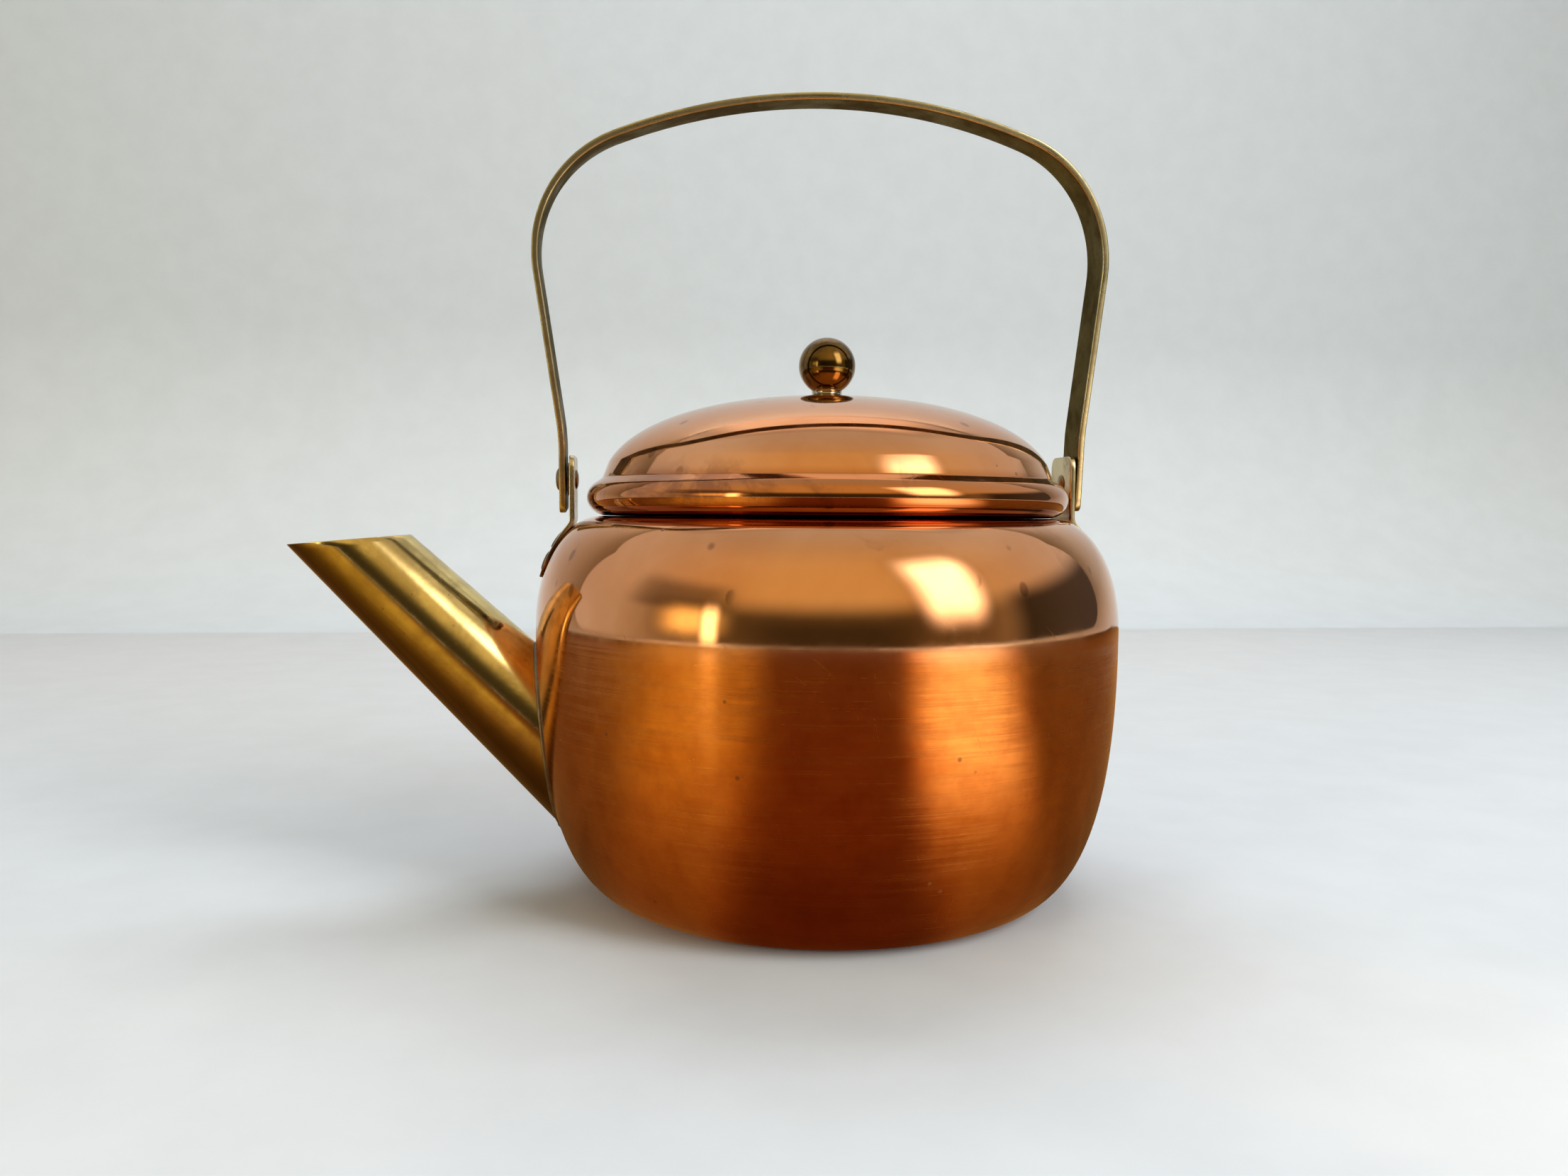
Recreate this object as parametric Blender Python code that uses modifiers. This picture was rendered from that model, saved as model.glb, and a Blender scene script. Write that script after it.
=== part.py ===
"""Small copper kettle with a brass spout, brass swing handle and lift-off lid.

The origin is the centre of the flat base, +Z is up, and the spout points along -X.
Every length below is in millimetres and is turned into metres by mm().
"""

import math

import bmesh
import bpy
from mathutils import Matrix, Vector

GAP = 0.3                  # clearance kept between pieces that touch
STEPS = 40                 # facets round the vessel, the lid and the collar

# Vessel: a flat base, a superellipse up to the widest ring, an elliptical shoulder, a turned-in mouth
WALL = 0.8
BASE_RADIUS = 43.0
BELLY_RADIUS = 64.3
BELLY_HEIGHT = 59.0
BELLY_POWER = 2.5
SHOULDER_RADIUS = 50.0
TOP_HEIGHT = 82.6
MOUTH_RADIUS = 45.0
THROAT_DEPTH = 3.4
THROAT_BEND = 1.2

# Lid: an elliptical dome that ends at a crease, then a half-round bead
DOME_RADIUS = 50.2
DOME_RISE = 21.2
DOME_BASE = 88.0
DOME_POWER = 2.2
CREASE_RADIUS = 49.9
BEAD_CENTRE_RADIUS = 49.2
BEAD_WIDTH = 4.1
BEAD_HALF_HEIGHT = 3.9
SEAT_RADIUS = 46.2
COLLAR_RADIUS = 44.4
COLLAR_WALL = 0.7
COLLAR_BOTTOM = 75.5
COLLAR_FLANGE_RADIUS = 48.4

# Knob and its fixing
BALL_RADIUS = 6.35
BALL_HEIGHT = 116.3
NECK_RADIUS = 3.55
STUD_RADIUS = 1.5
STUD_TOP = 114.4
STUD_BOTTOM = 104.2
KNOB_HOLE_TOP = 114.8
WASHER_RADIUS = 4.2
WASHER_THICKNESS = 0.7
NUT_FLATS = 5.5
NUT_HEIGHT = 2.2

# Spout: a straight cone, cut nearly level at the mouth
SPOUT_SLOPE = math.radians(44.5)
SPOUT_TAPER = math.radians(2.65)
SPOUT_MOUTH = (-104.6, 77.1)
SPOUT_MOUTH_RADIUS = 9.8
SPOUT_MOUTH_SLOPE = math.radians(4.9)
SPOUT_WALL = 0.9
SPOUT_REACH = 92.0         # from the mouth's centre to inside the vessel, along the axis
SPOUT_SPARE = 22.0         # length beyond the mouth's centre, cut away
SPOUT_HOLE_LEDGE = 1.5     # the hole in the vessel is this much smaller than the spout's bore
SOLDER_SIZE = 0.7

# Lugs: a strip with a flat ear for the pivot and a foot along the shoulder
PIVOT_HEIGHT = 90.5
EAR_INNER = 54.75
LEFT_OUTSET = 0.9          # the left ear and the handle's left leg stand this much further out
LUG_THICKNESS = 1.1
FOOT_THICKNESS = 0.8
FOOT_GAP = 0.2
LUG_WIDTH = 13.4
LUG_TOP = 95.6
LUG_BOTTOM = 69.0
LUG_CORNER = 2.6
LUG_BEND = 2.2
FOOT_START = math.radians(66)
FOOT_END = math.radians(18)
LUG_RIVET_ANGLES = (math.radians(49.5), math.radians(34.5))

# Handle: a strap bent into an arch
STRAP_THICKNESS = 1.4
STRAP_WIDTH = 9.9
STRAP_INNER = 56.7
STRAP_END_BELOW_PIVOT = 7.0
STRAP_CORNER = 1.8
STRAP_PAD_TOP = 97.0
LEG_TILT = math.radians(6.5)
LEG_BLEND_RADIUS = 60.0
CORNER_WIDEST = 61.4       # centreline half-width at the widest point
CORNER_HEIGHT = 138.4
CORNER_RADIUS = 27.0
ARCH_START = math.radians(21.0)
ARCH_UNEVEN = 0.026        # the right half of the arch rises by this much per unit of width
ARCH_SWAY = -2.0           # the arch stands this much to one side of its pivots
HANDLE_LEAN = math.radians(6.5)

# Fasteners
PIVOT_SHANK_RADIUS = 1.3
PIVOT_HEAD_RADIUS = 2.1
PIVOT_HEAD_HEIGHT = 0.55
PIVOT_WASHER_RADIUS = 3.6
PIVOT_WASHER_THICKNESS = 0.4
LUG_SHANK_RADIUS = 1.2
LUG_HEAD_RADIUS = 2.3
LUG_HEAD_HEIGHT = 0.45

# Rotations that stand a flat outline up
FACING_FRONT = (math.pi / 2, 0.0, 0.0)             # an outline drawn in X and Z
FACING_SIDE = (math.pi / 2, 0.0, math.pi / 2)      # an outline drawn in Y and Z

COPPER = (0.82, 0.42, 0.26, 1.0)
TIN = (0.72, 0.71, 0.68, 1.0)
BRASS = (0.80, 0.60, 0.24, 1.0)
OLD_BRASS = (0.45, 0.36, 0.19, 1.0)
DARK_BRASS = (0.24, 0.17, 0.09, 1.0)
SOLDER = (0.50, 0.49, 0.46, 1.0)


def mm(value):
    return value * 0.001


# ---------------------------------------------------------------- outlines

def ellipse_arc(centre, half_width, half_height, start, end, count, power=2.0):
    """Points on a superellipse from angle start to angle end, in millimetres."""
    points = []
    for i in range(count + 1):
        angle = start + (end - start) * i / count
        c = math.cos(angle)
        s = math.sin(angle)
        x = math.copysign(abs(c) ** (2.0 / power), c)
        z = math.copysign(abs(s) ** (2.0 / power), s)
        points.append((centre[0] + half_width * x, centre[1] + half_height * z))
    return points


def rounded(corners, segments=4):
    """A polyline through (x, z, radius) corners, with an arc in each corner that has a radius."""
    points = []
    for i, (x, z, radius) in enumerate(corners):
        if not radius:
            points.append((x, z))
            continue
        here = Vector((x, z))
        before = (Vector(corners[i - 1][:2]) - here).normalized()
        after = (Vector(corners[(i + 1) % len(corners)][:2]) - here).normalized()
        half = before.angle(after) / 2.0
        centre = here + (before + after).normalized() * (radius / math.sin(half))
        first = here + before * (radius / math.tan(half)) - centre
        last = here + after * (radius / math.tan(half)) - centre
        turn = first.angle_signed(last)
        for k in range(segments + 1):
            spoke = Matrix.Rotation(-turn * k / segments, 2) @ first
            points.append(tuple(centre + spoke))
    return points


def offset(path, distance):
    """The path moved sideways, to the left of its direction, with mitred corners."""
    moved = []
    for i, point in enumerate(path):
        here = Vector(point)
        back = here - Vector(path[i - 1]) if i else None
        ahead = Vector(path[i + 1]) - here if i + 1 < len(path) else None
        back = (back if back else ahead).normalized()
        ahead = (ahead if ahead else back).normalized()
        normal = Vector((-back.y - ahead.y, back.x + ahead.x)).normalized()
        moved.append(tuple(here + normal * (distance / normal.dot(Vector((-back.y, back.x))))))
    return moved


def vessel_outline(grow=0.0):
    """The vessel's outside from the mouth's throat down to the centre of the base."""
    shoulder = ellipse_arc((SHOULDER_RADIUS, BELLY_HEIGHT), BELLY_RADIUS - SHOULDER_RADIUS,
                           TOP_HEIGHT - BELLY_HEIGHT, math.pi / 2, 0.0, 9)
    belly = ellipse_arc((BASE_RADIUS, BELLY_HEIGHT), BELLY_RADIUS - BASE_RADIUS,
                        BELLY_HEIGHT, 0.0, -math.pi / 2, 10, BELLY_POWER)
    throat = rounded([(MOUTH_RADIUS, TOP_HEIGHT - THROAT_DEPTH, 0),
                      (MOUTH_RADIUS, TOP_HEIGHT, THROAT_BEND),
                      (SHOULDER_RADIUS, TOP_HEIGHT, 0)], 3)
    outline = throat[:-1] + shoulder + belly[1:] + [(0.0, 0.0)]
    return offset(outline, grow) if grow else outline


def shoulder_point(angle, out=0.0):
    """A point on the shoulder at an angle of its ellipse, moved outwards, and its normal's slope."""
    width = BELLY_RADIUS - SHOULDER_RADIUS
    height = TOP_HEIGHT - BELLY_HEIGHT
    normal = Vector((math.cos(angle) / width, math.sin(angle) / height)).normalized()
    point = Vector((SHOULDER_RADIUS + width * math.cos(angle), BELLY_HEIGHT + height * math.sin(angle)))
    return point + normal * out, math.atan2(normal.y, normal.x)


def shoulder_angle(radius, out):
    """The ellipse angle at which the shoulder, moved outwards, reaches a radius."""
    low = 0.0
    high = math.pi / 2
    for _ in range(40):
        middle = (low + high) / 2
        if shoulder_point(middle, out)[0].x > radius:
            low = middle
        else:
            high = middle
    return low


def strip(path, thickness):
    """The closed outline of a strip of constant thickness along a centreline."""
    return offset(path, thickness / 2) + list(reversed(offset(path, -thickness / 2)))


# ---------------------------------------------------------------- Blender helpers

def clear_scene():
    for obj in list(bpy.data.objects):
        bpy.data.objects.remove(obj, do_unlink=True)


def new_collection(name):
    collection = bpy.data.collections.new(name)
    bpy.context.scene.collection.children.link(collection)
    return collection


def new_material(name, colour, roughness, metallic=1.0):
    material = bpy.data.materials.new(name)
    material.use_nodes = True
    shader = material.node_tree.nodes["Principled BSDF"]
    shader.inputs["Base Color"].default_value = colour
    shader.inputs["Roughness"].default_value = roughness
    shader.inputs["Metallic"].default_value = metallic
    return material


def add_object(name, data, collection, material=None):
    obj = bpy.data.objects.new(name, data)
    collection.objects.link(obj)
    if material:
        data.materials.append(material)
    return obj


def as_cutter(obj):
    obj.hide_render = True
    obj.display_type = "WIRE"
    return obj


def turned(name, profile, collection, material=None, steps=STEPS, closed=False):
    """A profile of (radius, height) in millimetres, turned round Z."""
    vertices = [(mm(r), 0.0, mm(z)) for r, z in profile]
    edges = [(i, i + 1) for i in range(len(profile) - 1)]
    if closed:
        edges.append((len(profile) - 1, 0))
    mesh = bpy.data.meshes.new(name)
    mesh.from_pydata(vertices, edges, [])
    obj = add_object(name, mesh, collection, material)
    screw = obj.modifiers.new("Turn", "SCREW")
    screw.axis = "Z"
    screw.angle = 2 * math.pi
    screw.steps = steps
    screw.render_steps = steps
    screw.use_merge_vertices = True
    screw.merge_threshold = 0.00001
    screw.use_smooth_shade = True
    return obj


def plate(name, outline, thickness, rotation, collection, material=None):
    """A flat outline in millimetres, extruded to a thickness and turned into a mesh."""
    curve = bpy.data.curves.new(name, "CURVE")
    curve.dimensions = "2D"
    curve.fill_mode = "BOTH"
    curve.extrude = mm(thickness) / 2
    spline = curve.splines.new("POLY")
    spline.points.add(len(outline) - 1)
    for point, (x, y) in zip(spline.points, outline):
        point.co = (mm(x), mm(y), 0.0, 1.0)
    spline.use_cyclic_u = True
    drawn = bpy.data.objects.new(name + "_outline", curve)
    collection.objects.link(drawn)
    drawn.rotation_euler = rotation
    bpy.context.view_layer.update()
    graph = bpy.context.evaluated_depsgraph_get()
    mesh = bpy.data.meshes.new_from_object(drawn.evaluated_get(graph))
    mesh.transform(drawn.matrix_world)
    mesh.name = name
    bpy.data.objects.remove(drawn, do_unlink=True)
    work = bmesh.new()
    work.from_mesh(mesh)
    bmesh.ops.remove_doubles(work, verts=work.verts, dist=0.000001)
    bmesh.ops.dissolve_limit(work, angle_limit=0.001, verts=work.verts, edges=work.edges)
    bmesh.ops.recalc_face_normals(work, faces=work.faces)
    work.to_mesh(mesh)
    work.free()
    mesh.materials.clear()
    return add_object(name, mesh, collection, material)


def cone(name, base_radius, top_radius, length, collection, segments=32, material=None):
    """A cone or cylinder along Z, from z = 0 to z = length, in millimetres."""
    mesh = bpy.data.meshes.new(name)
    work = bmesh.new()
    bmesh.ops.create_cone(work, cap_ends=True, segments=segments, radius1=mm(base_radius),
                          radius2=mm(top_radius), depth=mm(length))
    bmesh.ops.translate(work, verts=work.verts, vec=(0.0, 0.0, mm(length) / 2))
    work.to_mesh(mesh)
    work.free()
    return add_object(name, mesh, collection, material)


def block(name, low, high, collection):
    """A box between two corners, in millimetres."""
    mesh = bpy.data.meshes.new(name)
    work = bmesh.new()
    bmesh.ops.create_cube(work, size=1.0)
    size = [mm(b - a) for a, b in zip(low, high)]
    middle = [mm(a + b) / 2 for a, b in zip(low, high)]
    bmesh.ops.scale(work, verts=work.verts, vec=size)
    bmesh.ops.translate(work, verts=work.verts, vec=middle)
    work.to_mesh(mesh)
    work.free()
    return add_object(name, mesh, collection)


def combine(target, other, operation):
    step = target.modifiers.new(operation.title(), "BOOLEAN")
    step.operation = operation
    step.solver = "EXACT"
    step.object = as_cutter(other)


def settle(obj):
    """Keep the object's evaluated mesh, with round stretches smooth and real edges sharp."""
    graph = bpy.context.evaluated_depsgraph_get()
    mesh = bpy.data.meshes.new_from_object(obj.evaluated_get(graph))
    obj.modifiers.clear()
    obj.data = mesh
    mesh.name = obj.name
    mesh.shade_smooth()
    mesh.set_sharp_from_angle(angle=math.radians(30))


# ---------------------------------------------------------------- pieces

def rivet_profile(shank_radius, head_radius, head_height, low, high):
    """Two low domed heads on a shank that runs from low to high."""
    bottom = ellipse_arc((0.0, low), head_radius, head_height, -math.pi / 2, 0.0, 3)
    top = ellipse_arc((0.0, high), head_radius, head_height, 0.0, math.pi / 2, 3)
    outline = bottom + [(shank_radius, low), (shank_radius, high)] + top
    return list(reversed(outline))


def make_vessel(parts, material):
    outside = vessel_outline()
    inside = offset(outside, -WALL)
    inside[-1] = (0.0, WALL)
    return turned("body_shell", list(reversed(inside)) + outside, parts, material)


def grown_vessel(name, grow, cutters):
    """The space that the vessel fills, grown on all sides, as a solid without a mouth."""
    outline = vessel_outline(grow)
    first = next(i for i, point in enumerate(outline) if point[1] > TOP_HEIGHT + grow - 0.001)
    outline = [(0.0, TOP_HEIGHT + grow)] + outline[first:]
    outline[-1] = (0.0, -grow)
    return turned(name, outline, cutters)


def spout_cone(name, grow, cutters, longer=0.0):
    """A cone along the spout's axis, its surface moved outwards by grow."""
    low = SPOUT_MOUTH_RADIUS - (SPOUT_SPARE + longer) * math.tan(SPOUT_TAPER)
    high = SPOUT_MOUTH_RADIUS + (SPOUT_REACH + longer) * math.tan(SPOUT_TAPER)
    side = grow / math.cos(SPOUT_TAPER)
    obj = cone(name, low + side, high + side, SPOUT_SPARE + SPOUT_REACH + 2 * longer, cutters)
    axis = Vector((math.cos(SPOUT_SLOPE), 0.0, -math.sin(SPOUT_SLOPE)))
    mouth = Vector((mm(SPOUT_MOUTH[0]), 0.0, mm(SPOUT_MOUTH[1])))
    obj.location = mouth - axis * mm(SPOUT_SPARE + longer)
    obj.rotation_euler = axis.to_track_quat("Z", "Y").to_euler()
    return obj


def move_to(obj, collection, material):
    for owner in list(obj.users_collection):
        owner.objects.unlink(obj)
    collection.objects.link(obj)
    obj.data.materials.append(material)
    return obj


def make_spout(parts, cutters, material):
    spout = move_to(spout_cone("spout", 0.0, cutters), parts, material)
    combine(spout, spout_cone("cut_spout_bore", -SPOUT_WALL, cutters, longer=5.0), "DIFFERENCE")
    combine(spout, grown_vessel("cut_spout_root", GAP, cutters), "DIFFERENCE")
    level = block("cut_spout_mouth", (-60, -30, 0), (60, 30, 40), cutters)
    level.location = (mm(SPOUT_MOUTH[0]), 0.0, mm(SPOUT_MOUTH[1]))
    level.rotation_euler = (0.0, -SPOUT_MOUTH_SLOPE, 0.0)
    combine(spout, level, "DIFFERENCE")
    return spout


def make_solder(parts, cutters, material):
    ring = move_to(spout_cone("spout_solder_seam", GAP + SOLDER_SIZE, cutters), parts, material)
    combine(ring, spout_cone("cut_solder_bore", GAP, cutters, longer=5.0), "DIFFERENCE")
    combine(ring, grown_vessel("keep_solder", GAP + SOLDER_SIZE, cutters), "INTERSECT")
    combine(ring, grown_vessel("cut_solder_root", GAP, cutters), "DIFFERENCE")
    return ring


def lid_outline():
    """The lid's outside from the knob's hole down to the inner edge of the seat."""
    hole = STUD_RADIUS + GAP
    start = math.acos(hole / DOME_RADIUS)
    end = math.acos(CREASE_RADIUS / DOME_RADIUS)
    dome = ellipse_arc((0.0, DOME_BASE), DOME_RADIUS, DOME_RISE, start, end, 11, DOME_POWER)
    bead_centre = (BEAD_CENTRE_RADIUS, TOP_HEIGHT + GAP + BEAD_HALF_HEIGHT)
    crease = math.acos((CREASE_RADIUS - BEAD_CENTRE_RADIUS) / BEAD_WIDTH)
    bead = ellipse_arc(bead_centre, BEAD_WIDTH, BEAD_HALF_HEIGHT, crease, -math.pi / 2, 10)
    return dome[:-1] + bead + [(SEAT_RADIUS, TOP_HEIGHT + GAP)]


def make_lid(parts, material):
    outside = lid_outline()
    inside = offset(outside, -WALL)
    inside[0] = (outside[0][0], outside[0][1] - WALL)
    return turned("lid_dome", list(reversed(inside)) + outside, parts, material, closed=True)


def make_collar(parts, material):
    flange = TOP_HEIGHT + GAP + WALL + GAP
    middle = COLLAR_RADIUS - COLLAR_WALL / 2
    path = rounded([(middle, COLLAR_BOTTOM, 0),
                    (middle, flange + COLLAR_WALL / 2, 0.8),
                    (COLLAR_FLANGE_RADIUS, flange + COLLAR_WALL / 2, 0)], 3)
    outline = strip(path, COLLAR_WALL)
    return turned("lid_collar", outline, parts, material, closed=True)


def make_knob(parts, material):
    foot = DOME_BASE + DOME_RISE + GAP
    hole = STUD_RADIUS + GAP
    start = math.asin(NECK_RADIUS / BALL_RADIUS) - math.pi / 2
    ball = ellipse_arc((0.0, BALL_HEIGHT), BALL_RADIUS, BALL_RADIUS, math.pi / 2, start, 13)
    profile = ball + [(NECK_RADIUS, foot), (hole, foot), (hole, KNOB_HOLE_TOP), (0.0, KNOB_HOLE_TOP)]
    return turned("knob", profile, parts, material, steps=24)


def make_knob_fixing(parts, material, dark):
    under = DOME_BASE + DOME_RISE - WALL - GAP
    hole = STUD_RADIUS + GAP
    stud = turned("knob_stud", [(0.0, STUD_TOP), (STUD_RADIUS, STUD_TOP), (STUD_RADIUS, STUD_BOTTOM),
                                (0.0, STUD_BOTTOM)], parts, dark, steps=16)
    washer = turned("knob_washer", [(hole, under), (WASHER_RADIUS, under - 0.1),
                                    (WASHER_RADIUS, under - WASHER_THICKNESS),
                                    (hole, under - WASHER_THICKNESS)],
                    parts, material, steps=24, closed=True)
    nut_top = under - WASHER_THICKNESS - GAP
    across_corners = NUT_FLATS / math.cos(math.pi / 6) / 2
    nut = turned("knob_nut", [(hole, nut_top), (across_corners, nut_top),
                              (across_corners, nut_top - NUT_HEIGHT), (hole, nut_top - NUT_HEIGHT)],
                 parts, material, steps=6, closed=True)
    return [stud, washer, nut]


def side_mask(name, low, high, width, radius, top_radius, depth, cutters):
    """A rounded rectangle in Y and Z, extruded along X."""
    half = width / 2
    corners = [(-half, low, radius), (half, low, radius), (half, high, top_radius), (-half, high, top_radius)]
    return plate(name, rounded(corners, 8), depth, FACING_SIDE, cutters)


def shoulder_path(start, end, out, count):
    """Points along the shoulder from one angle of its ellipse to another, moved outwards."""
    points = []
    for i in range(count + 1):
        point, _ = shoulder_point(start + (end - start) * i / count, out)
        points.append((point.x, point.y))
    return points


def outset(side):
    return LEFT_OUTSET if side < 0 else 0.0


def ear_path(side):
    """The ear's centreline in X and Z, from its top to where its bend meets the foot."""
    ear = EAR_INNER + LUG_THICKNESS / 2 + outset(side)
    out = FOOT_GAP + LUG_THICKNESS / 2
    bend = shoulder_angle(ear, out)
    foot = shoulder_path(bend, FOOT_START - math.radians(6), out, 2)
    return rounded([(ear, LUG_TOP + 2, 0), (*foot[0], LUG_BEND), (*foot[2], 0)], 4)


def make_lug(name, side, parts, cutters, material):
    lug = plate(name, strip(ear_path(side), LUG_THICKNESS), LUG_WIDTH + 4, FACING_FRONT, parts, material)
    middle = FOOT_GAP + FOOT_THICKNESS / 2
    foot = strip(shoulder_path(FOOT_START, FOOT_END, middle, 8), FOOT_THICKNESS)
    combine(lug, turned("join_" + name, list(reversed(foot)), cutters, closed=True), "UNION")
    mask = side_mask("keep_" + name, LUG_BOTTOM, LUG_TOP, LUG_WIDTH, 4.5, LUG_CORNER, 100.0, cutters)
    mask.location = (mm(50.0), 0.0, 0.0)
    combine(lug, mask, "INTERSECT")
    hole = cone("cut_%s_pivot" % name, PIVOT_SHANK_RADIUS + GAP, PIVOT_SHANK_RADIUS + GAP, 20, cutters, 16)
    hole.rotation_euler = (0.0, math.pi / 2, 0.0)
    hole.location = (mm(EAR_INNER - 10), 0.0, mm(PIVOT_HEIGHT))
    combine(lug, hole, "DIFFERENCE")
    for i, angle in enumerate(LUG_RIVET_ANGLES):
        hole = cone("cut_%s_rivet_%d" % (name, i), LUG_SHANK_RADIUS + GAP, LUG_SHANK_RADIUS + GAP, 12,
                    cutters, 12)
        place_on_shoulder(hole, angle, -6.0)
        combine(lug, hole, "DIFFERENCE")
    bpy.context.view_layer.update()
    settle(lug)
    lug.rotation_euler = (0.0, 0.0, 0.0 if side > 0 else math.pi)
    return lug


def place_on_shoulder(obj, angle, out, side=1):
    """Put an object that stands along Z on the shoulder, along its normal."""
    point, slope = shoulder_point(angle, out)
    turn = Matrix.Rotation(0.0 if side > 0 else math.pi, 4, "Z")
    tilt = Matrix.Rotation(math.pi / 2 - slope, 4, "Y")
    obj.matrix_world = turn @ Matrix.Translation((mm(point.x), 0.0, mm(point.y))) @ tilt


def make_lug_rivets(name, side, parts, cutters, vessel, material):
    """Rivets through the foot and the vessel's wall, and their holes in the wall."""
    rivets = []
    low = -WALL - GAP
    high = FOOT_GAP + FOOT_THICKNESS + FOOT_GAP
    for label, angle in zip(("upper", "lower"), LUG_RIVET_ANGLES):
        profile = rivet_profile(LUG_SHANK_RADIUS, LUG_HEAD_RADIUS, LUG_HEAD_HEIGHT, low, high)
        rivet = turned("%s_rivet_%s" % (name, label), profile, parts, material, steps=12)
        place_on_shoulder(rivet, angle, 0.0, side)
        hole = cone("cut_vessel_%s_%s" % (name, label), LUG_SHANK_RADIUS + GAP, LUG_SHANK_RADIUS + GAP, 8,
                    cutters, 12)
        place_on_shoulder(hole, angle, -4.0, side)
        combine(vessel, hole, "DIFFERENCE")
        rivets.append(rivet)
    return rivets


def make_pivot(name, side, parts, material, washer_material):
    """The handle's rivet and washer on one side, both along X."""
    low = EAR_INNER - GAP + outset(side)
    high = STRAP_INNER + STRAP_THICKNESS + GAP + outset(side)
    profile = rivet_profile(PIVOT_SHANK_RADIUS, PIVOT_HEAD_RADIUS, PIVOT_HEAD_HEIGHT, low, high)
    rivet = turned("%s_pivot_rivet" % name, profile, parts, material, steps=16)
    hole = PIVOT_SHANK_RADIUS + GAP
    middle = (EAR_INNER + LUG_THICKNESS + STRAP_INNER) / 2 + outset(side)
    start = middle - PIVOT_WASHER_THICKNESS / 2
    end = middle + PIVOT_WASHER_THICKNESS / 2
    washer = turned("%s_pivot_washer" % name, [(hole, end), (PIVOT_WASHER_RADIUS, end),
                                               (PIVOT_WASHER_RADIUS, start), (hole, start)],
                    parts, washer_material, steps=20, closed=True)
    for obj in (rivet, washer):
        obj.location = (0.0, 0.0, mm(PIVOT_HEIGHT))
        obj.rotation_euler = (0.0, side * math.pi / 2, 0.0)
    return [rivet, washer]


def handle_path():
    """The strap's centreline in X and Z, from one end over the arch to the other."""
    start = STRAP_INNER + STRAP_THICKNESS / 2
    corner = (CORNER_WIDEST - CORNER_RADIUS, CORNER_HEIGHT)
    bend = ellipse_arc(corner, CORNER_RADIUS, CORNER_RADIUS, -LEG_TILT, math.pi / 2 - ARCH_START, 11)
    foot = STRAP_PAD_TOP
    pad = [(start, PIVOT_HEIGHT - STRAP_END_BELOW_PIVOT - 3), (start, foot)]
    leg = rounded([(*pad[0], 0), (start, foot + 4, LEG_BLEND_RADIUS), (*bend[0], 0)], 4)
    arch_radius = bend[-1][0] / math.sin(ARCH_START)
    arch_centre = bend[-1][1] - arch_radius * math.cos(ARCH_START)
    arch = ellipse_arc((0.0, arch_centre), arch_radius, arch_radius, math.pi / 2 - ARCH_START, math.pi / 2, 7)
    half = leg[:-1] + bend + arch[1:]
    path = half + [(-x, z) for x, z in reversed(half[:-1])]
    rise = arch[-1][1] - STRAP_PAD_TOP
    bent = []
    for x, z in path:
        share = max(0.0, (z - STRAP_PAD_TOP) / rise)
        left = max(0.0, min(1.0, -x / start))
        bent.append((x + ARCH_SWAY * share - LEFT_OUTSET * left, z + ARCH_UNEVEN * x * share))
    return bent


def make_handle(parts, cutters, material):
    """The strap stands upright when it is cut, and then leans about its pivots."""
    strap = plate("handle_strap", strip(handle_path(), STRAP_THICKNESS), STRAP_WIDTH + 4, FACING_FRONT,
                  parts, material)
    low = PIVOT_HEIGHT - STRAP_END_BELOW_PIVOT
    mask = side_mask("keep_handle", low, 200.0, STRAP_WIDTH, STRAP_CORNER, 0, 160.0, cutters)
    combine(strap, mask, "INTERSECT")
    hole = cone("cut_handle_pivot", PIVOT_SHANK_RADIUS + GAP, PIVOT_SHANK_RADIUS + GAP, 160, cutters, 16)
    hole.rotation_euler = (0.0, math.pi / 2, 0.0)
    hole.location = (mm(-80), 0.0, mm(PIVOT_HEIGHT))
    combine(strap, hole, "DIFFERENCE")
    bpy.context.view_layer.update()
    settle(strap)
    strap.data.transform(Matrix.Translation((0.0, 0.0, -mm(PIVOT_HEIGHT))))
    strap.location = (0.0, 0.0, mm(PIVOT_HEIGHT))
    strap.rotation_euler = (HANDLE_LEAN, 0.0, 0.0)
    return strap


def main():
    clear_scene()
    parts = new_collection("copper_kettle")
    cutters = new_collection("copper_kettle_cutters")
    copper = new_material("copper", COPPER, 0.25)
    tin = new_material("tinned", TIN, 0.4)
    brass = new_material("brass", BRASS, 0.25)
    old_brass = new_material("old_brass", OLD_BRASS, 0.35)
    dark_brass = new_material("dark_brass", DARK_BRASS, 0.35)
    solder = new_material("solder", SOLDER, 0.45)

    vessel = make_vessel(parts, copper)
    turned_parts = [vessel, make_spout(parts, cutters, brass), make_solder(parts, cutters, solder),
                    make_lid(parts, copper), make_collar(parts, tin), make_knob(parts, dark_brass)]
    turned_parts += make_knob_fixing(parts, old_brass, dark_brass)
    hole = spout_cone("cut_spout_hole", -SPOUT_WALL - SPOUT_HOLE_LEDGE, cutters)
    combine(vessel, hole, "DIFFERENCE")
    for name, side in (("left", -1), ("right", 1)):
        make_lug("%s_lug" % name, side, parts, cutters, old_brass)
        turned_parts += make_lug_rivets("%s_lug" % name, side, parts, cutters, vessel, old_brass)
        turned_parts += make_pivot(name, side, parts, dark_brass, old_brass)
    make_handle(parts, cutters, old_brass)
    bpy.context.view_layer.update()
    for obj in turned_parts:
        settle(obj)


main()
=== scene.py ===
"""The copper kettle's looks: finer meshes and procedural metals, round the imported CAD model.

Positions are in the model's own frame, +Z up, with the spout along -X. The helpers take
millimetres, and mm() turns them into metres.
"""

import math

import bpy
from mathutils import Matrix, Vector


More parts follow.
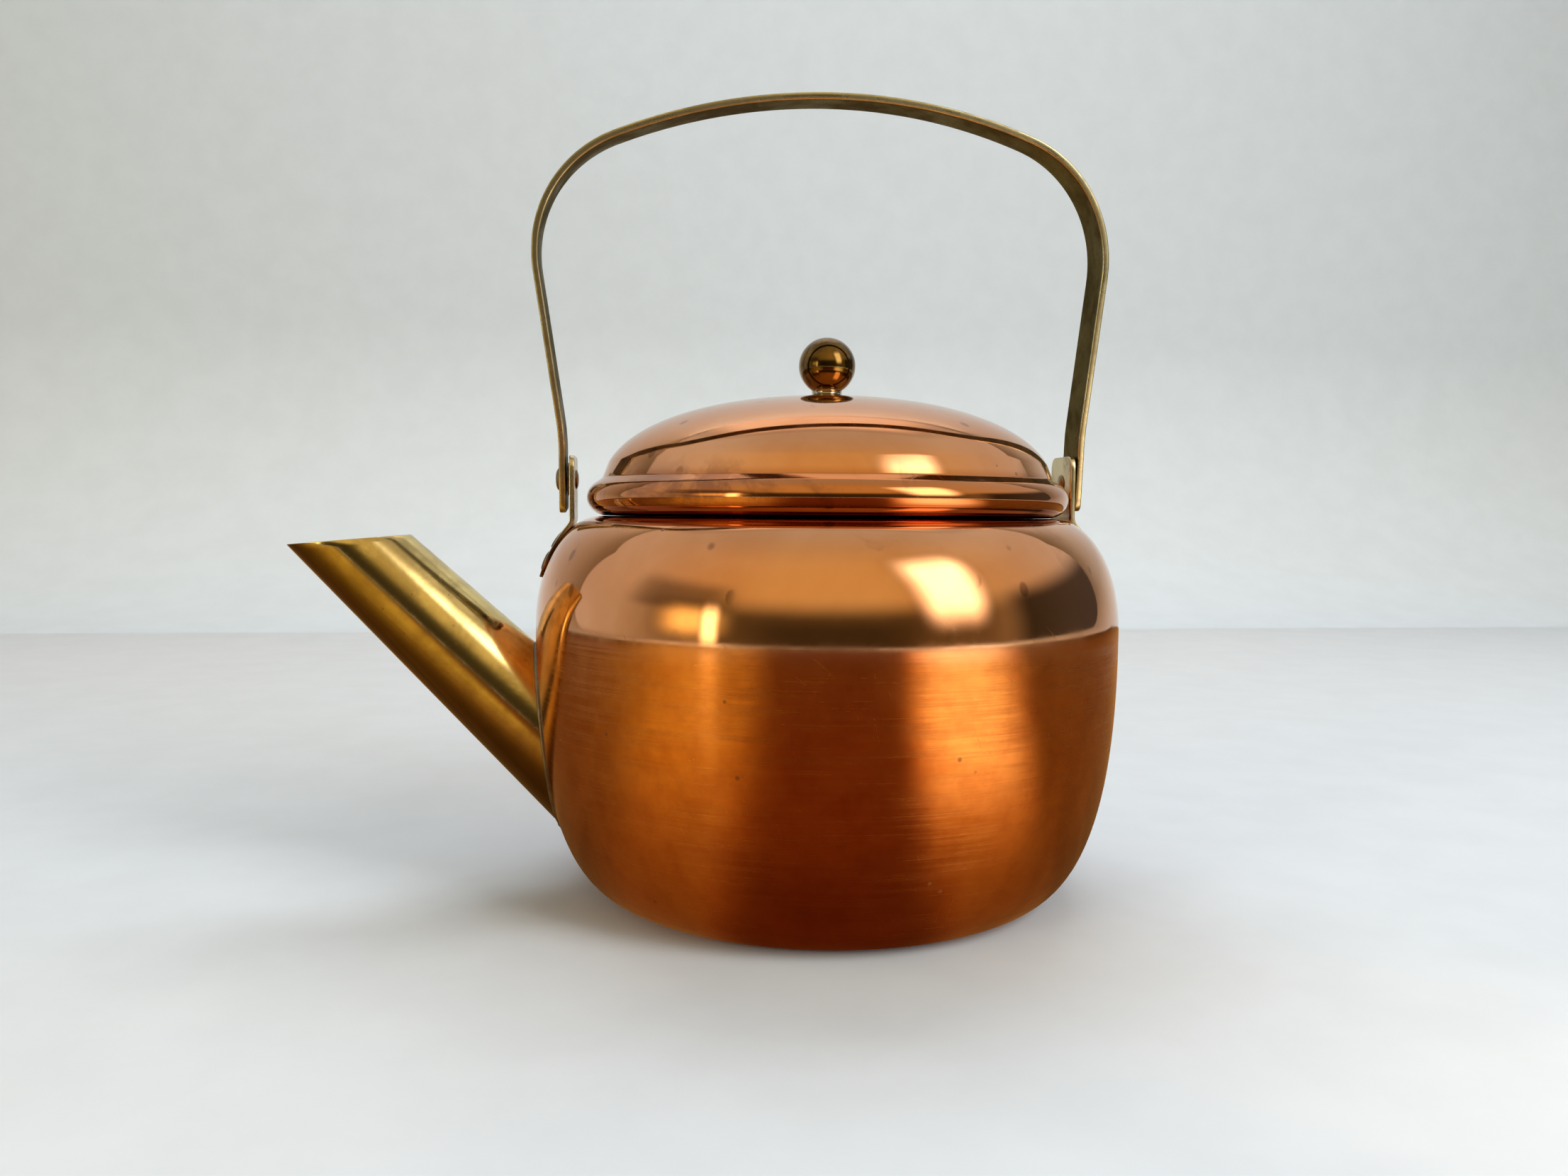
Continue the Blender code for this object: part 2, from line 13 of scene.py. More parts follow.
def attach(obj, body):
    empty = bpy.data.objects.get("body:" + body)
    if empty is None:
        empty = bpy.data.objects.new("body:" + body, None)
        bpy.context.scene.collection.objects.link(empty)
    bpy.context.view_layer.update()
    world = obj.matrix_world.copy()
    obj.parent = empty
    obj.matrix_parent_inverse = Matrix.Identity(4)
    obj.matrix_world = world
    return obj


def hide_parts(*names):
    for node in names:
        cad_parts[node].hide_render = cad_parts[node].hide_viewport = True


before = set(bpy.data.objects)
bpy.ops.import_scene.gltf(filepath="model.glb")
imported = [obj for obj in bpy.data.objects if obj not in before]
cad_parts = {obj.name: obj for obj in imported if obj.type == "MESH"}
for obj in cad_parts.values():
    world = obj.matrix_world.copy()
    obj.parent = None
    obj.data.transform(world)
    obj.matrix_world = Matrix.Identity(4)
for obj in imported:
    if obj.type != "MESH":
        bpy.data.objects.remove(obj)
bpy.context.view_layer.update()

# ---------------------------------------------------------------- sizes, in millimetres

STEPS = 192                # facets round the vessel and the lid

WALL = 0.8
BASE_RADIUS = 43.0
BELLY_RADIUS = 64.3
BELLY_HEIGHT = 59.0
BELLY_POWER = 2.5
SHOULDER_RADIUS = 50.0
TOP_HEIGHT = 82.6
MOUTH_RADIUS = 45.0
THROAT_DEPTH = 3.4
THROAT_BEND = 1.2

DOME_RADIUS = 50.2
DOME_RISE = 21.2
DOME_BASE = 88.0
DOME_POWER = 2.2
CREASE_RADIUS = 49.9
BEAD_CENTRE_RADIUS = 49.2
BEAD_WIDTH = 4.1
BEAD_HALF_HEIGHT = 3.9
BEAD_BOTTOM = 82.66
SEAT_RADIUS = 46.2

BALL_RADIUS = 6.35
BALL_HEIGHT = 116.3
NECK_RADIUS = 3.45

SPOUT_SLOPE = math.radians(44.5)
SPOUT_TAPER = math.radians(2.65)
SPOUT_MOUTH = (-104.6, 77.1)
SPOUT_MOUTH_RADIUS = 9.8
SPOUT_MOUTH_SLOPE = math.radians(4.9)
SPOUT_WALL = 0.9
SPOUT_BORE_END = 88.0      # how far the bore's cut reaches along the axis
SPOUT_HOLE_LEDGE = 1.5     # the hole in the vessel is this much smaller than the spout's bore
SPOUT_RIM_EDGE = 0.18      # the rounding of the mouth's rim
SPOUT_ROOT_SINK = 0.35     # how deep the root sinks into the vessel's wall
SEAM_RADIUS = 0.42

PIVOT_HEIGHT = 90.5
EAR_INNER = 54.75
LEFT_OUTSET = 0.9
LUG_THICKNESS = 1.1
FOOT_GAP = 0.05
LUG_WIDTH = 13.4
LUG_TOP = 95.6
LUG_CORNER = 2.6
LUG_BEND = 2.2
LUG_FOOT_CORNER = 4.5
FOOT_END = math.radians(25)
LUG_RIVET_ANGLES = (math.radians(49.5), math.radians(34.5))
LUG_RIVET_RADIUS = 2.2
LUG_RIVET_HEIGHT = 0.45
LUG_RIVET_SHANK = 2.6

PIVOT_SHANK_RADIUS = 1.3
PIVOT_HEAD_RADIUS = 2.5
PIVOT_HEAD_HEIGHT = 1.0
PIVOT_TAIL_RADIUS = 2.1
PIVOT_TAIL_HEIGHT = 0.6
WASHER_BORE = 1.5
WASHER_RADIUS = 3.6

STRAP_THICKNESS = 1.4
STRAP_WIDTH = 9.9
STRAP_INNER = 56.7
STRAP_END_BELOW_PIVOT = 7.0
STRAP_CORNER = 1.8
RIGHT_RAISED = 1.1         # the right ear's top and the strap's right end stand this much higher
STRAP_PAD_TOP = 97.0
LEG_TILT = math.radians(6.5)
LEG_BLEND_RADIUS = 60.0
CORNER_WIDEST = 61.4
CORNER_HEIGHT = 138.4
CORNER_RADIUS = 27.0
ARCH_START = math.radians(21.0)
ARCH_UNEVEN = 0.026
ARCH_SWAY = -2.0
HANDLE_LEAN = math.radians(6.5)

# Where a finish or a painted shade begins and where it is complete: heights, but radii for the throat
POLISH_LINE = 58.6         # the height where the mirror polish gives way to the satin finish
SATIN = (POLISH_LINE + 2.2, POLISH_LINE - 3.0)
# painted shade on the satin, growing from the first height down to the second
SATIN_PAINTED_SHADE = (30.0, 4.0)
SPOTTED = (61.0, 65.0)
# painted shade on the throat, under the lid's bead
THROAT_PAINTED_SHADE_RADII = (50.6, 48.6)
THROAT_PAINTED_SHADE = (78.0, 81.0)
LID_PATCHES = (96.0, 88.0)
BEAD = (92.5, 90.5)
# painted shade under the lid's bead
BEAD_PAINTED_SHADE = (86.4, 83.6)
LUG_TARNISHED = (81.0, 76.0)
KNOB_NECK_RING = (111.25, 110.55)

# ---------------------------------------------------------------- colours, linear

COPPER = {
    "polished": (0.84, 0.40, 0.185),
    "polished_dark": (0.74, 0.31, 0.125),
    # satin and satin_dark: satin copper, their deep saturated tones partly a painted reflection of a
    # brown table
    "satin": (0.71, 0.265, 0.052),
    "satin_dark": (0.57, 0.18, 0.030),
    # painted shade towards the bottom of the vessel
    "satin_painted_shade": (0.36, 0.075, 0.014),
    "spun_line": (0.44, 0.10, 0.02),
    "stain": (0.50, 0.19, 0.09),
    "pit": (0.16, 0.06, 0.035),
    "spot": (0.22, 0.085, 0.05),
    "bead": (0.60, 0.21, 0.062),
    # painted shade under the lid's bead
    "bead_painted_shade": (0.24, 0.085, 0.04),
    "lid_patch": (0.26, 0.095, 0.055),
    # painted shade on the throat, under the lid's bead
    "throat": (0.30, 0.11, 0.05),
}
LUG_FOOT_TARNISH = (0.20, 0.085, 0.04)
# a paler band round the foot of the knob's neck
KNOB_NECK_PALE = (0.50, 0.44, 0.31)


def mm(value):
    return value * 0.001


# ---------------------------------------------------------------- outlines

def ellipse_arc(centre, half_width, half_height, start, end, count, power=2.0):
    """Points on a superellipse from angle start to angle end."""
    points = []
    for i in range(count + 1):
        angle = start + (end - start) * i / count
        c = math.cos(angle)
        s = math.sin(angle)
        x = math.copysign(abs(c) ** (2.0 / power), c)
        z = math.copysign(abs(s) ** (2.0 / power), s)
        points.append((centre[0] + half_width * x, centre[1] + half_height * z))
    return points


def rounded(corners, segments=8):
    """A polyline through (x, z, radius) corners, with an arc in each corner that has a radius."""
    points = []
    for i, (x, z, radius) in enumerate(corners):
        if not radius:
            points.append((x, z))
            continue
        here = Vector((x, z))
        before = (Vector(corners[i - 1][:2]) - here).normalized()
        after = (Vector(corners[(i + 1) % len(corners)][:2]) - here).normalized()
        half = before.angle(after) / 2.0
        centre = here + (before + after).normalized() * (radius / math.sin(half))
        first = here + before * (radius / math.tan(half)) - centre
        last = here + after * (radius / math.tan(half)) - centre
        turn = first.angle_signed(last)
        for k in range(segments + 1):
            spoke = Matrix.Rotation(-turn * k / segments, 2) @ first
            points.append(tuple(centre + spoke))
    return points


def offset(path, distance):
    """The path moved sideways, to the left of its direction, with mitred corners."""
    moved = []
    for i, point in enumerate(path):
        here = Vector(point)
        back = here - Vector(path[i - 1]) if i else None
        ahead = Vector(path[i + 1]) - here if i + 1 < len(path) else None
        back = (back if back else ahead).normalized()
        ahead = (ahead if ahead else back).normalized()
        normal = Vector((-back.y - ahead.y, back.x + ahead.x)).normalized()
        moved.append(tuple(here + normal * (distance / normal.dot(Vector((-back.y, back.x))))))
    return moved


def resampled(path, step):
    """The path with points at even distances, about a step apart."""
    lengths = [0.0]
    for a, b in zip(path, path[1:]):
        lengths.append(lengths[-1] + math.dist(a, b))
    count = max(2, round(lengths[-1] / step))
    points = []
    k = 0
    for i in range(count + 1):
        at = lengths[-1] * i / count
        while k < len(path) - 2 and lengths[k + 1] < at:
            k += 1
        share = (at - lengths[k]) / max(1e-9, lengths[k + 1] - lengths[k])
        points.append(tuple(a + (b - a) * share for a, b in zip(path[k], path[k + 1])))
    return points


def last_true(low, high, test):
    """The greatest value between low and high up to which the test holds."""
    for _ in range(50):
        middle = (low + high) / 2
        if test(middle):
            low = middle
        else:
            high = middle
    return low


# ---------------------------------------------------------------- meshes

def add_mesh(name, vertices, faces, materials, indices=None, arcs=None, sharp=35):
    """A smooth mesh from millimetres. arcs become the "arc" attribute that the spun lines follow."""
    mesh = bpy.data.meshes.new(name)
    mesh.from_pydata([tuple(mm(c) for c in v) for v in vertices], [], faces)
    for material in materials:
        mesh.materials.append(material)
    if indices:
        mesh.polygons.foreach_set("material_index", indices)
    if arcs:
        attribute = mesh.attributes.new("arc", "FLOAT", "POINT")
        attribute.data.foreach_set("value", [mm(a) for a in arcs])
    mesh.validate()
    mesh.shade_smooth()
    mesh.set_sharp_from_angle(angle=math.radians(sharp))
    obj = bpy.data.objects.new(name, mesh)
    bpy.context.scene.collection.objects.link(obj)
    return obj


def lathe(name, profile, materials, steps=STEPS, closed=False, kinds=None, sharp=35):
    """A (radius, height) profile turned round Z. A point on the axis becomes one vertex."""
    vertices = []
    rings = []
    arcs = []
    arc = 0.0
    for i, (r, z) in enumerate(profile):
        arc += math.dist(profile[i - 1], profile[i]) if i else 0.0
        if r < 1e-6:
            rings.append([len(vertices)] * steps)
            vertices.append((0.0, 0.0, z))
            arcs.append(arc)
            continue
        rings.append([len(vertices) + k for k in range(steps)])
        for k in range(steps):
            angle = 2 * math.pi * k / steps
            vertices.append((r * math.cos(angle), r * math.sin(angle), z))
            arcs.append(arc)
    faces = []
    indices = []
    last = len(profile) if closed else len(profile) - 1
    for i in range(last):
        lower = rings[i]
        upper = rings[(i + 1) % len(profile)]
        for k in range(steps):
            n = (k + 1) % steps
            loop = [lower[k], upper[k], upper[n], lower[n]]
            loop = [v for j, v in enumerate(loop) if v not in loop[:j]]
            if len(loop) > 2:
                faces.append(loop)
                indices.append(kinds[i] if kinds else 0)
    return add_mesh(name, vertices, faces, materials, indices, arcs, sharp)


def tube_faces(rings, count, closed=False):
    """Quads along rings of points. The tube closes on itself or has two flat ends."""
    faces = []
    for i in range(rings if closed else rings - 1):
        here = i * count
        ahead = (i + 1) % rings * count
        for k in range(count):
            n = (k + 1) % count
            faces.append([here + k, here + n, ahead + n, ahead + k])
    if not closed:
        faces += [list(reversed(range(count))), [(rings - 1) * count + k for k in range(count)]]
    return faces


def section(half_width, half_thickness, edge, across):
    """A rounded rectangle's outline in (across, out), with enough points to bend over a curve."""
    edge = min(edge, half_width * 0.9, half_thickness * 0.9)
    flat = half_width - edge
    points = [(-flat + 2 * flat * i / across, half_thickness) for i in range(across + 1)]
    for centre, turns in ((half_thickness - edge, (2, 1, 0)), (-half_thickness + edge, (0, -1, -2))):
        for turn in turns:
            angle = math.pi / 2 * turn / 3
            points.append((flat + edge * math.cos(angle), centre + edge * math.sin(angle)))
    points += [(-v, -t) for v, t in points]
    return points


def bent_strip(name, length, half_width, thickness, place, materials, step=1.0, across=8, edge=0.25):
    """A strip of sheet metal with two materials, for its faces and for its edges.

    place(s, v, t) gives the point at s along, v across and t out.
    """
    rows = []
    ends = [0.0, 0.05, 0.15, 0.35, 0.7, 1.2, 1.8, 2.5, 3.3]     # closer rows round each end's corners
    middle = round((length - 2 * ends[-1]) / step)
    inner = [ends[-1] + (length - 2 * ends[-1]) * i / middle for i in range(1, middle)]
    along = ends + inner + [length - s for s in reversed(ends)]
    for s in along:
        half = thickness / 2
        near = min(s, length - s)
        pull = 0.0
        if near < edge:
            pull = edge - math.sqrt(edge * edge - (edge - near) ** 2)
        loop = section(max(0.05, half_width(s) - pull * 0.3), half - pull, edge, across)
        rows.append([place(s, v, t) for v, t in loop])
    count = len(rows[0])
    vertices = [p for row in rows for p in row]
    arcs = [s for s in along for _ in range(count)]
    faces = tube_faces(len(rows), count)
    indices = [int(k % (count // 2) >= across) for _ in rows[1:] for k in range(count)] + [1, 1]
    return add_mesh(name, vertices, faces, materials, indices, arcs, 40)


def cut(target, cutters):
    """Cuts the cutters out with exact Booleans, applied at once, and removes them."""
    for other in cutters:
        step = target.modifiers.new("cut", "BOOLEAN")
        step.operation = "DIFFERENCE"
        step.solver = "EXACT"
        step.object = other
    bpy.context.view_layer.update()
    graph = bpy.context.evaluated_depsgraph_get()
    mesh = bpy.data.meshes.new_from_object(target.evaluated_get(graph))
    target.modifiers.clear()
    target.data = mesh
    mesh.name = target.name
    for other in cutters:
        bpy.data.objects.remove(other, do_unlink=True)
    return target


# ---------------------------------------------------------------- materials

class Graph:
    """A material's node tree, with short calls that add a node and return its output."""

    def __init__(self, name, tree=None):
        """A new material, or the world's tree where one is given."""
        self.tree = tree
        if tree is None:
            self.material = bpy.data.materials.new(name)
            self.material.use_nodes = True
            self.tree = self.material.node_tree
            self.shader = self.tree.nodes["Principled BSDF"]

    def add(self, kind, inputs=(), output=0, **settings):
        node = self.tree.nodes.new("ShaderNode" + kind)
        for key, value in settings.items():
            setattr(node, key, value)
        for key, value in dict(inputs).items():
            self.put(node.inputs[key], value)
        return node.outputs[output]

    def put(self, socket, value):
        if isinstance(value, bpy.types.NodeSocket):
            self.tree.links.new(value, socket)
        else:
            socket.default_value = value

    def shade(self, inputs):
        for key, value in inputs.items():
            self.put(self.shader.inputs[key], value)

    def surface(self, output):
        """Ends the tree in another shader than the Principled one."""
        self.put(self.tree.nodes["Material Output"].inputs["Surface"], output)

    def math(self, operation, a, b=0.0):
        return self.add("Math", {0: a, 1: b}, operation=operation)

    def plus(self, a, b):
        return self.math("ADD", a, b)

    def times(self, a, b):
        return self.math("MULTIPLY", a, b)

    def mix(self, share, a, b):
        return self.add("Mix", {0: share, 6: a, 7: b}, 2, data_type="RGBA")

    def blend(self, share, a, b):
        return self.add("Mix", {0: share, 2: a, 3: b}, 0, data_type="FLOAT")

    def step(self, value, low, high, to_low=0.0, to_high=1.0):
        """A smooth step, from to_low where the value is low to to_high where it is high."""
        return self.add("MapRange", {0: value, 1: low, 2: high, 3: to_low, 4: to_high},
                        interpolation_type="SMOOTHSTEP")

    def fade(self, value, ends, amount=1.0):
        """From 0 to an amount between two places in millimetres."""
        return self.step(value, mm(ends[0]), mm(ends[1]), 0.0, amount)

    def vector(self, x, y, z):
        return self.add("CombineXYZ", {0: x, 1: y, 2: z})

    def split(self, vector):
        node = self.tree.nodes.new("ShaderNodeSeparateXYZ")
        self.put(node.inputs[0], vector)
        return node.outputs

    def scaled(self, vector, scale, rotation=(0, 0, 0), location=(0, 0, 0)):
        return self.add("Mapping", {0: vector, 1: location, 2: rotation, 3: scale})

    def noise(self, vector, scale, detail=2.0, roughness=0.5, distortion=0.0):
        return self.add("TexNoise", {0: vector, "Scale": scale, "Detail": detail,
                                     "Roughness": roughness, "Distortion": distortion})

    def cells(self, vector, scale):
        return self.add("TexVoronoi", {0: vector, "Scale": scale})

    def bump(self, height, distance, strength=1.0, normal=None):
        inputs = {"Height": height, "Distance": distance, "Strength": strength}
        if normal is not None:
            inputs["Normal"] = normal
        return self.add("Bump", inputs)

    def position(self):
        """Object coordinates."""
        return self.add("TexCoord", output=3)

    def lobe(self, vector, azimuth, edge, core):
        """One towards an azimuth and zero away from it. Azimuth 0 is in front, at -Y."""
        a = math.radians(azimuth)
        x, y, _ = self.split(vector)
        flat = self.add("VectorMath", {0: self.vector(x, y, 0.0)}, operation="NORMALIZE")
        towards = (math.sin(a), -math.cos(a), 0.0)
        dot = self.add("VectorMath", {0: flat, 1: towards}, 1, operation="DOT_PRODUCT")
        return self.step(dot, math.cos(math.radians(edge)), math.cos(math.radians(core)))

    def dimmed(self, value, lobe, amount):
        """The value, less by an amount inside a lobe."""
        return self.times(value, self.math("SUBTRACT", 1.0, self.times(lobe, amount)))

    def scratches(self, position, count, size, width, seed):
        """Fine straight scratches in several directions, from 0 to 1."""
        total = None
        for i in range(count):
            turn = (0.7 * i + seed, 1.9 * i + 0.4 * seed, 2.6 * i + 0.3)
            turned = self.scaled(position, (1, 1, 1), turn)
            lines = self.scaled(turned, (1 / size, 0.01 / size, 0.01 / size), (0, 0, 0), (seed, i, 0))
            mark = self.step(self.cells(lines, 1.0), width * 0.4, width, 1.0, 0.0)
            gate = self.step(self.noise(position, 60.0 + 23 * i, 1.0), 0.54, 0.62)
            mark = self.times(mark, gate)
            total = mark if total is None else self.math("MAXIMUM", total, mark)
        return total


def colour(r, g, b):
    return (r, g, b, 1.0)


def copper(name, seed, spots=0.6, lid=False):
    """Polished copper with spun lines. Below the polish line the vessel's is satin."""
    g = Graph(name)
    position = g.position()
    x, y, z = g.split(position)
    radius = g.add("VectorMath", {0: g.vector(x, y, 0.0)}, 1, operation="LENGTH")
    arc = g.add("Attribute", output="Fac", attribute_name="arc")
    off_axis = g.math("MAXIMUM", radius, mm(2.0))
    c = g.math("DIVIDE", x, off_axis)
    s = g.math("DIVIDE", y, off_axis)

    def spun_lines(round_axis, along, detail, roughness):
        """Noise drawn out round the axis, with fine steps along the profile."""
        place = g.vector(g.times(c, round_axis), g.times(s, round_axis), g.times(arc, along))
        return g.noise(place, 1.0, detail, roughness)

    def tinted(share, base, tone):
        return g.mix(share, base, colour(*COPPER[tone]))

    fine = spun_lines(2.2, 7000.0, 2.0, 0.6)
    wide = spun_lines(1.1, 2300.0, 3.0, 0.6)
    band = spun_lines(4.0, 900.0, 3.0, 0.65)
    cloud = g.noise(position, 34.0, 4.0, 0.6, 0.3)
    mottled = g.noise(position, 150.0, 4.0, 0.65)
    marks = g.scratches(position, 4, 0.0004, 0.12, seed)
    wavy = g.noise(position, 30.0, 3.0, 0.5)
    # colour
    base = tinted(g.step(cloud, 0.3, 0.7), colour(*COPPER["polished"]), "polished_dark")
    if not lid:
        edge = g.plus(z, g.times(g.math("SUBTRACT", cloud, 0.5), mm(5.0)))
        satin = g.fade(edge, SATIN)
        # Below the polish line: satin copper, its deep saturated tones partly a painted reflection of a
        # brown table.
        satin_with_painted_reflection_and_shade = tinted(g.step(mottled, 0.3, 0.75), colour(*COPPER["satin"]), "satin_dark")
        # Painted shade: the satin darkens towards the bottom.
        satin_with_painted_reflection_and_shade = tinted(g.fade(z, SATIN_PAINTED_SHADE, 0.35), satin_with_painted_reflection_and_shade, "satin_painted_shade")
        satin_with_painted_reflection_and_shade = tinted(g.step(band, 0.42, 0.70, 0.0, 0.15), satin_with_painted_reflection_and_shade, "spun_line")
        base = g.mix(g.times(satin, 0.92), base, satin_with_painted_reflection_and_shade)
    stain = g.step(g.noise(position, 55.0, 5.0, 0.7, 0.6), 0.60, 0.74)
    base = tinted(g.times(stain, 0.35), base, "stain")
    pit = g.cells(g.scaled(position, (1, 1, 1), (0.3, 0.2, seed)), 190.0)
    pit = g.step(pit, 0.055, 0.10, 1.0, 0.0)
    gate = g.step(g.noise(position, 95.0, 1.0), 0.55, 0.62)
    pit = g.times(g.times(pit, gate), spots)
    base = tinted(pit, base, "pit")
    spot = g.cells(g.scaled(position, (1, 1, 0.7), (0.5, 0.9, seed)), 165.0)
    spot = g.step(spot, 0.13, 0.22, 1.0, 0.0)
    gate = g.step(g.noise(position, 38.0, 1.0), 0.51, 0.55)
    gate = g.times(gate, g.fade(z, SPOTTED, 0.62))
    base = tinted(g.times(spot, gate), base, "spot")
    if lid:
        base = tinted(g.times(g.fade(z, BEAD), 0.8), base, "bead")
        # Painted shade under the lid's bead, over the gap to the vessel.
        base = tinted(g.fade(z, BEAD_PAINTED_SHADE, 0.85), base, "bead_painted_shade")
        patch = g.step(g.noise(position, 42.0, 5.0, 0.7, 0.5), 0.50, 0.62)
        patch = g.times(patch, g.fade(z, LID_PATCHES))
        base = tinted(g.times(patch, 0.65), base, "lid_patch")
    else:
        # Painted shade on the vessel's throat, under the lid's bead.
        throat = g.times(g.fade(radius, THROAT_PAINTED_SHADE_RADII, 0.8), g.fade(z, THROAT_PAINTED_SHADE))
        base = tinted(throat, base, "throat")
    # roughness
    rough = g.step(mottled, 0.3, 0.75, 0.035, 0.08)
    rough = g.plus(rough, g.times(stain, 0.08))
    if not lid:
        grain = g.blend(0.5, fine, wide)
        grain = g.plus(grain, g.times(g.math("SUBTRACT", band, 0.5), 0.6))
        rough = g.blend(satin, rough, g.step(grain, 0.30, 0.70, 0.15, 0.28))
    rough = g.plus(rough, g.times(pit, 0.4))
    rough = g.plus(rough, g.times(marks, 0.10))
    # surface: a slight waviness, the spun lines, then scratches and pits
    normal = g.bump(wavy, mm(0.10))
    lines = g.plus(fine, g.times(wide, 0.8))
    lines = g.plus(lines, g.times(band, 0.5))
    depth = 0.12 if lid else g.blend(satin, 0.12, 1.0)
    normal = g.bump(g.times(lines, depth), mm(0.003), 1.0, normal)
    worn = g.plus(g.times(marks, 0.6), pit)
    normal = g.bump(g.math("SUBTRACT", 0.0, worn), mm(0.003), 1.0, normal)
    g.shade({"Base Color": base, "Roughness": rough, "Normal": normal, "Metallic": 1.0})
    return g


def brushed(g, tangent, amount):
    """Anisotropic highlights, drawn out across the lines that the tangent follows."""
    g.shade({"Tangent": tangent, "Anisotropic": amount, "Anisotropic Rotation": 0.25})
    return g.material


def spun(g, amount):
    """Highlights drawn out across lines that run round the axis."""
    return brushed(g, g.add("Tangent", direction_type="RADIAL", axis="Z"), amount)


def metal(name, light, dark, rough, seed, tarnish=0.8, line_depth=0.006, drawn_along=None,
          edge_wear=None, spots=0.5, painted_shade_below=0.0, low=None, grazing=None):
    """A worn metal: two tones, tarnish, fine lines, pits, scratches and rubbed edges.

    drawn_along is a direction that the lines follow, the underside share is painted shade on what faces
    down, low is a pair of heights and the tint below them, and grazing tints the edges that turn away.
    """
    g = Graph(name)
    position = g.position()
    cloud = g.noise(position, 70.0, 4.0, 0.65, 0.4)
    mottled = g.noise(position, 320.0, 4.0, 0.6)
    if drawn_along:
        along = g.scaled(position, (1, 1, 1), (0.0, -SPOUT_SLOPE, 0.0))
        lines = g.noise(g.scaled(along, (0.02, 1, 1)), 900.0, 3.0, 0.6)
    else:
        lines = g.noise(position, 900.0, 3.0, 0.6)
    marks = g.scratches(position, 3, 0.0004, 0.12, seed)
    tone = g.plus(g.times(cloud, 0.75), g.times(mottled, 0.25))
    base = g.mix(g.step(tone, 0.40, 0.62, 0.0, tarnish), colour(*light), colour(*dark))
    base = g.mix(g.step(lines, 0.45, 0.8, 0.0, 0.25 * tarnish), base, colour(*dark))
    # Painted shade: what faces down is darker.
    if painted_shade_below:
        down = g.split(g.add("NewGeometry", output=1))[2]
        base = g.mix(g.step(down, 0.30, -0.40, 0.0, painted_shade_below), base, colour(*dark))
    if low:
        heights, tint = low
        base = g.mix(g.fade(g.split(position)[2], heights, 0.9), base, colour(*tint))
    pit = g.step(g.cells(position, 330.0), 0.06, 0.13, 1.0, 0.0)
    gate = g.step(g.noise(position, 160.0, 1.0), 0.54, 0.60)
    pit = g.times(g.times(pit, gate), spots)
    base = g.mix(pit, base, colour(dark[0] * 0.35, dark[1] * 0.33, dark[2] * 0.3))
    roughness = g.step(tone, 0.35, 0.65, rough * 0.75, rough * 1.35)
    roughness = g.plus(roughness, g.times(pit, 0.3))
    roughness = g.plus(roughness, g.times(marks, 0.12))
    if edge_wear:
        rounded_normal = g.add("Bevel", {"Radius": mm(0.35)}, samples=6)
        plain_normal = g.add("NewGeometry", output=1)
        flat = g.add("VectorMath", {0: rounded_normal, 1: plain_normal}, 1, operation="DOT_PRODUCT")
        worn = g.step(flat, 0.995, 0.90, 0.0, 1.0)
        worn = g.times(worn, g.step(mottled, 0.25, 0.55, 0.45, 1.0))
        base = g.mix(worn, base, colour(*edge_wear))
        roughness = g.blend(worn, roughness, rough * 0.55)
    normal = g.bump(cloud, mm(0.05))
    normal = g.bump(lines, mm(line_depth), 1.0, normal)
    normal = g.bump(g.math("SUBTRACT", 0.0, g.plus(marks, pit)), mm(0.008), 1.0, normal)
    g.shade({"Base Color": base, "Roughness": roughness, "Normal": normal, "Metallic": 1.0})
    if grazing:
        g.shade({"Specular Tint": colour(*grazing)})
    if drawn_along:
        brushed(g, g.vector(*drawn_along), 0.75)
    return g.material


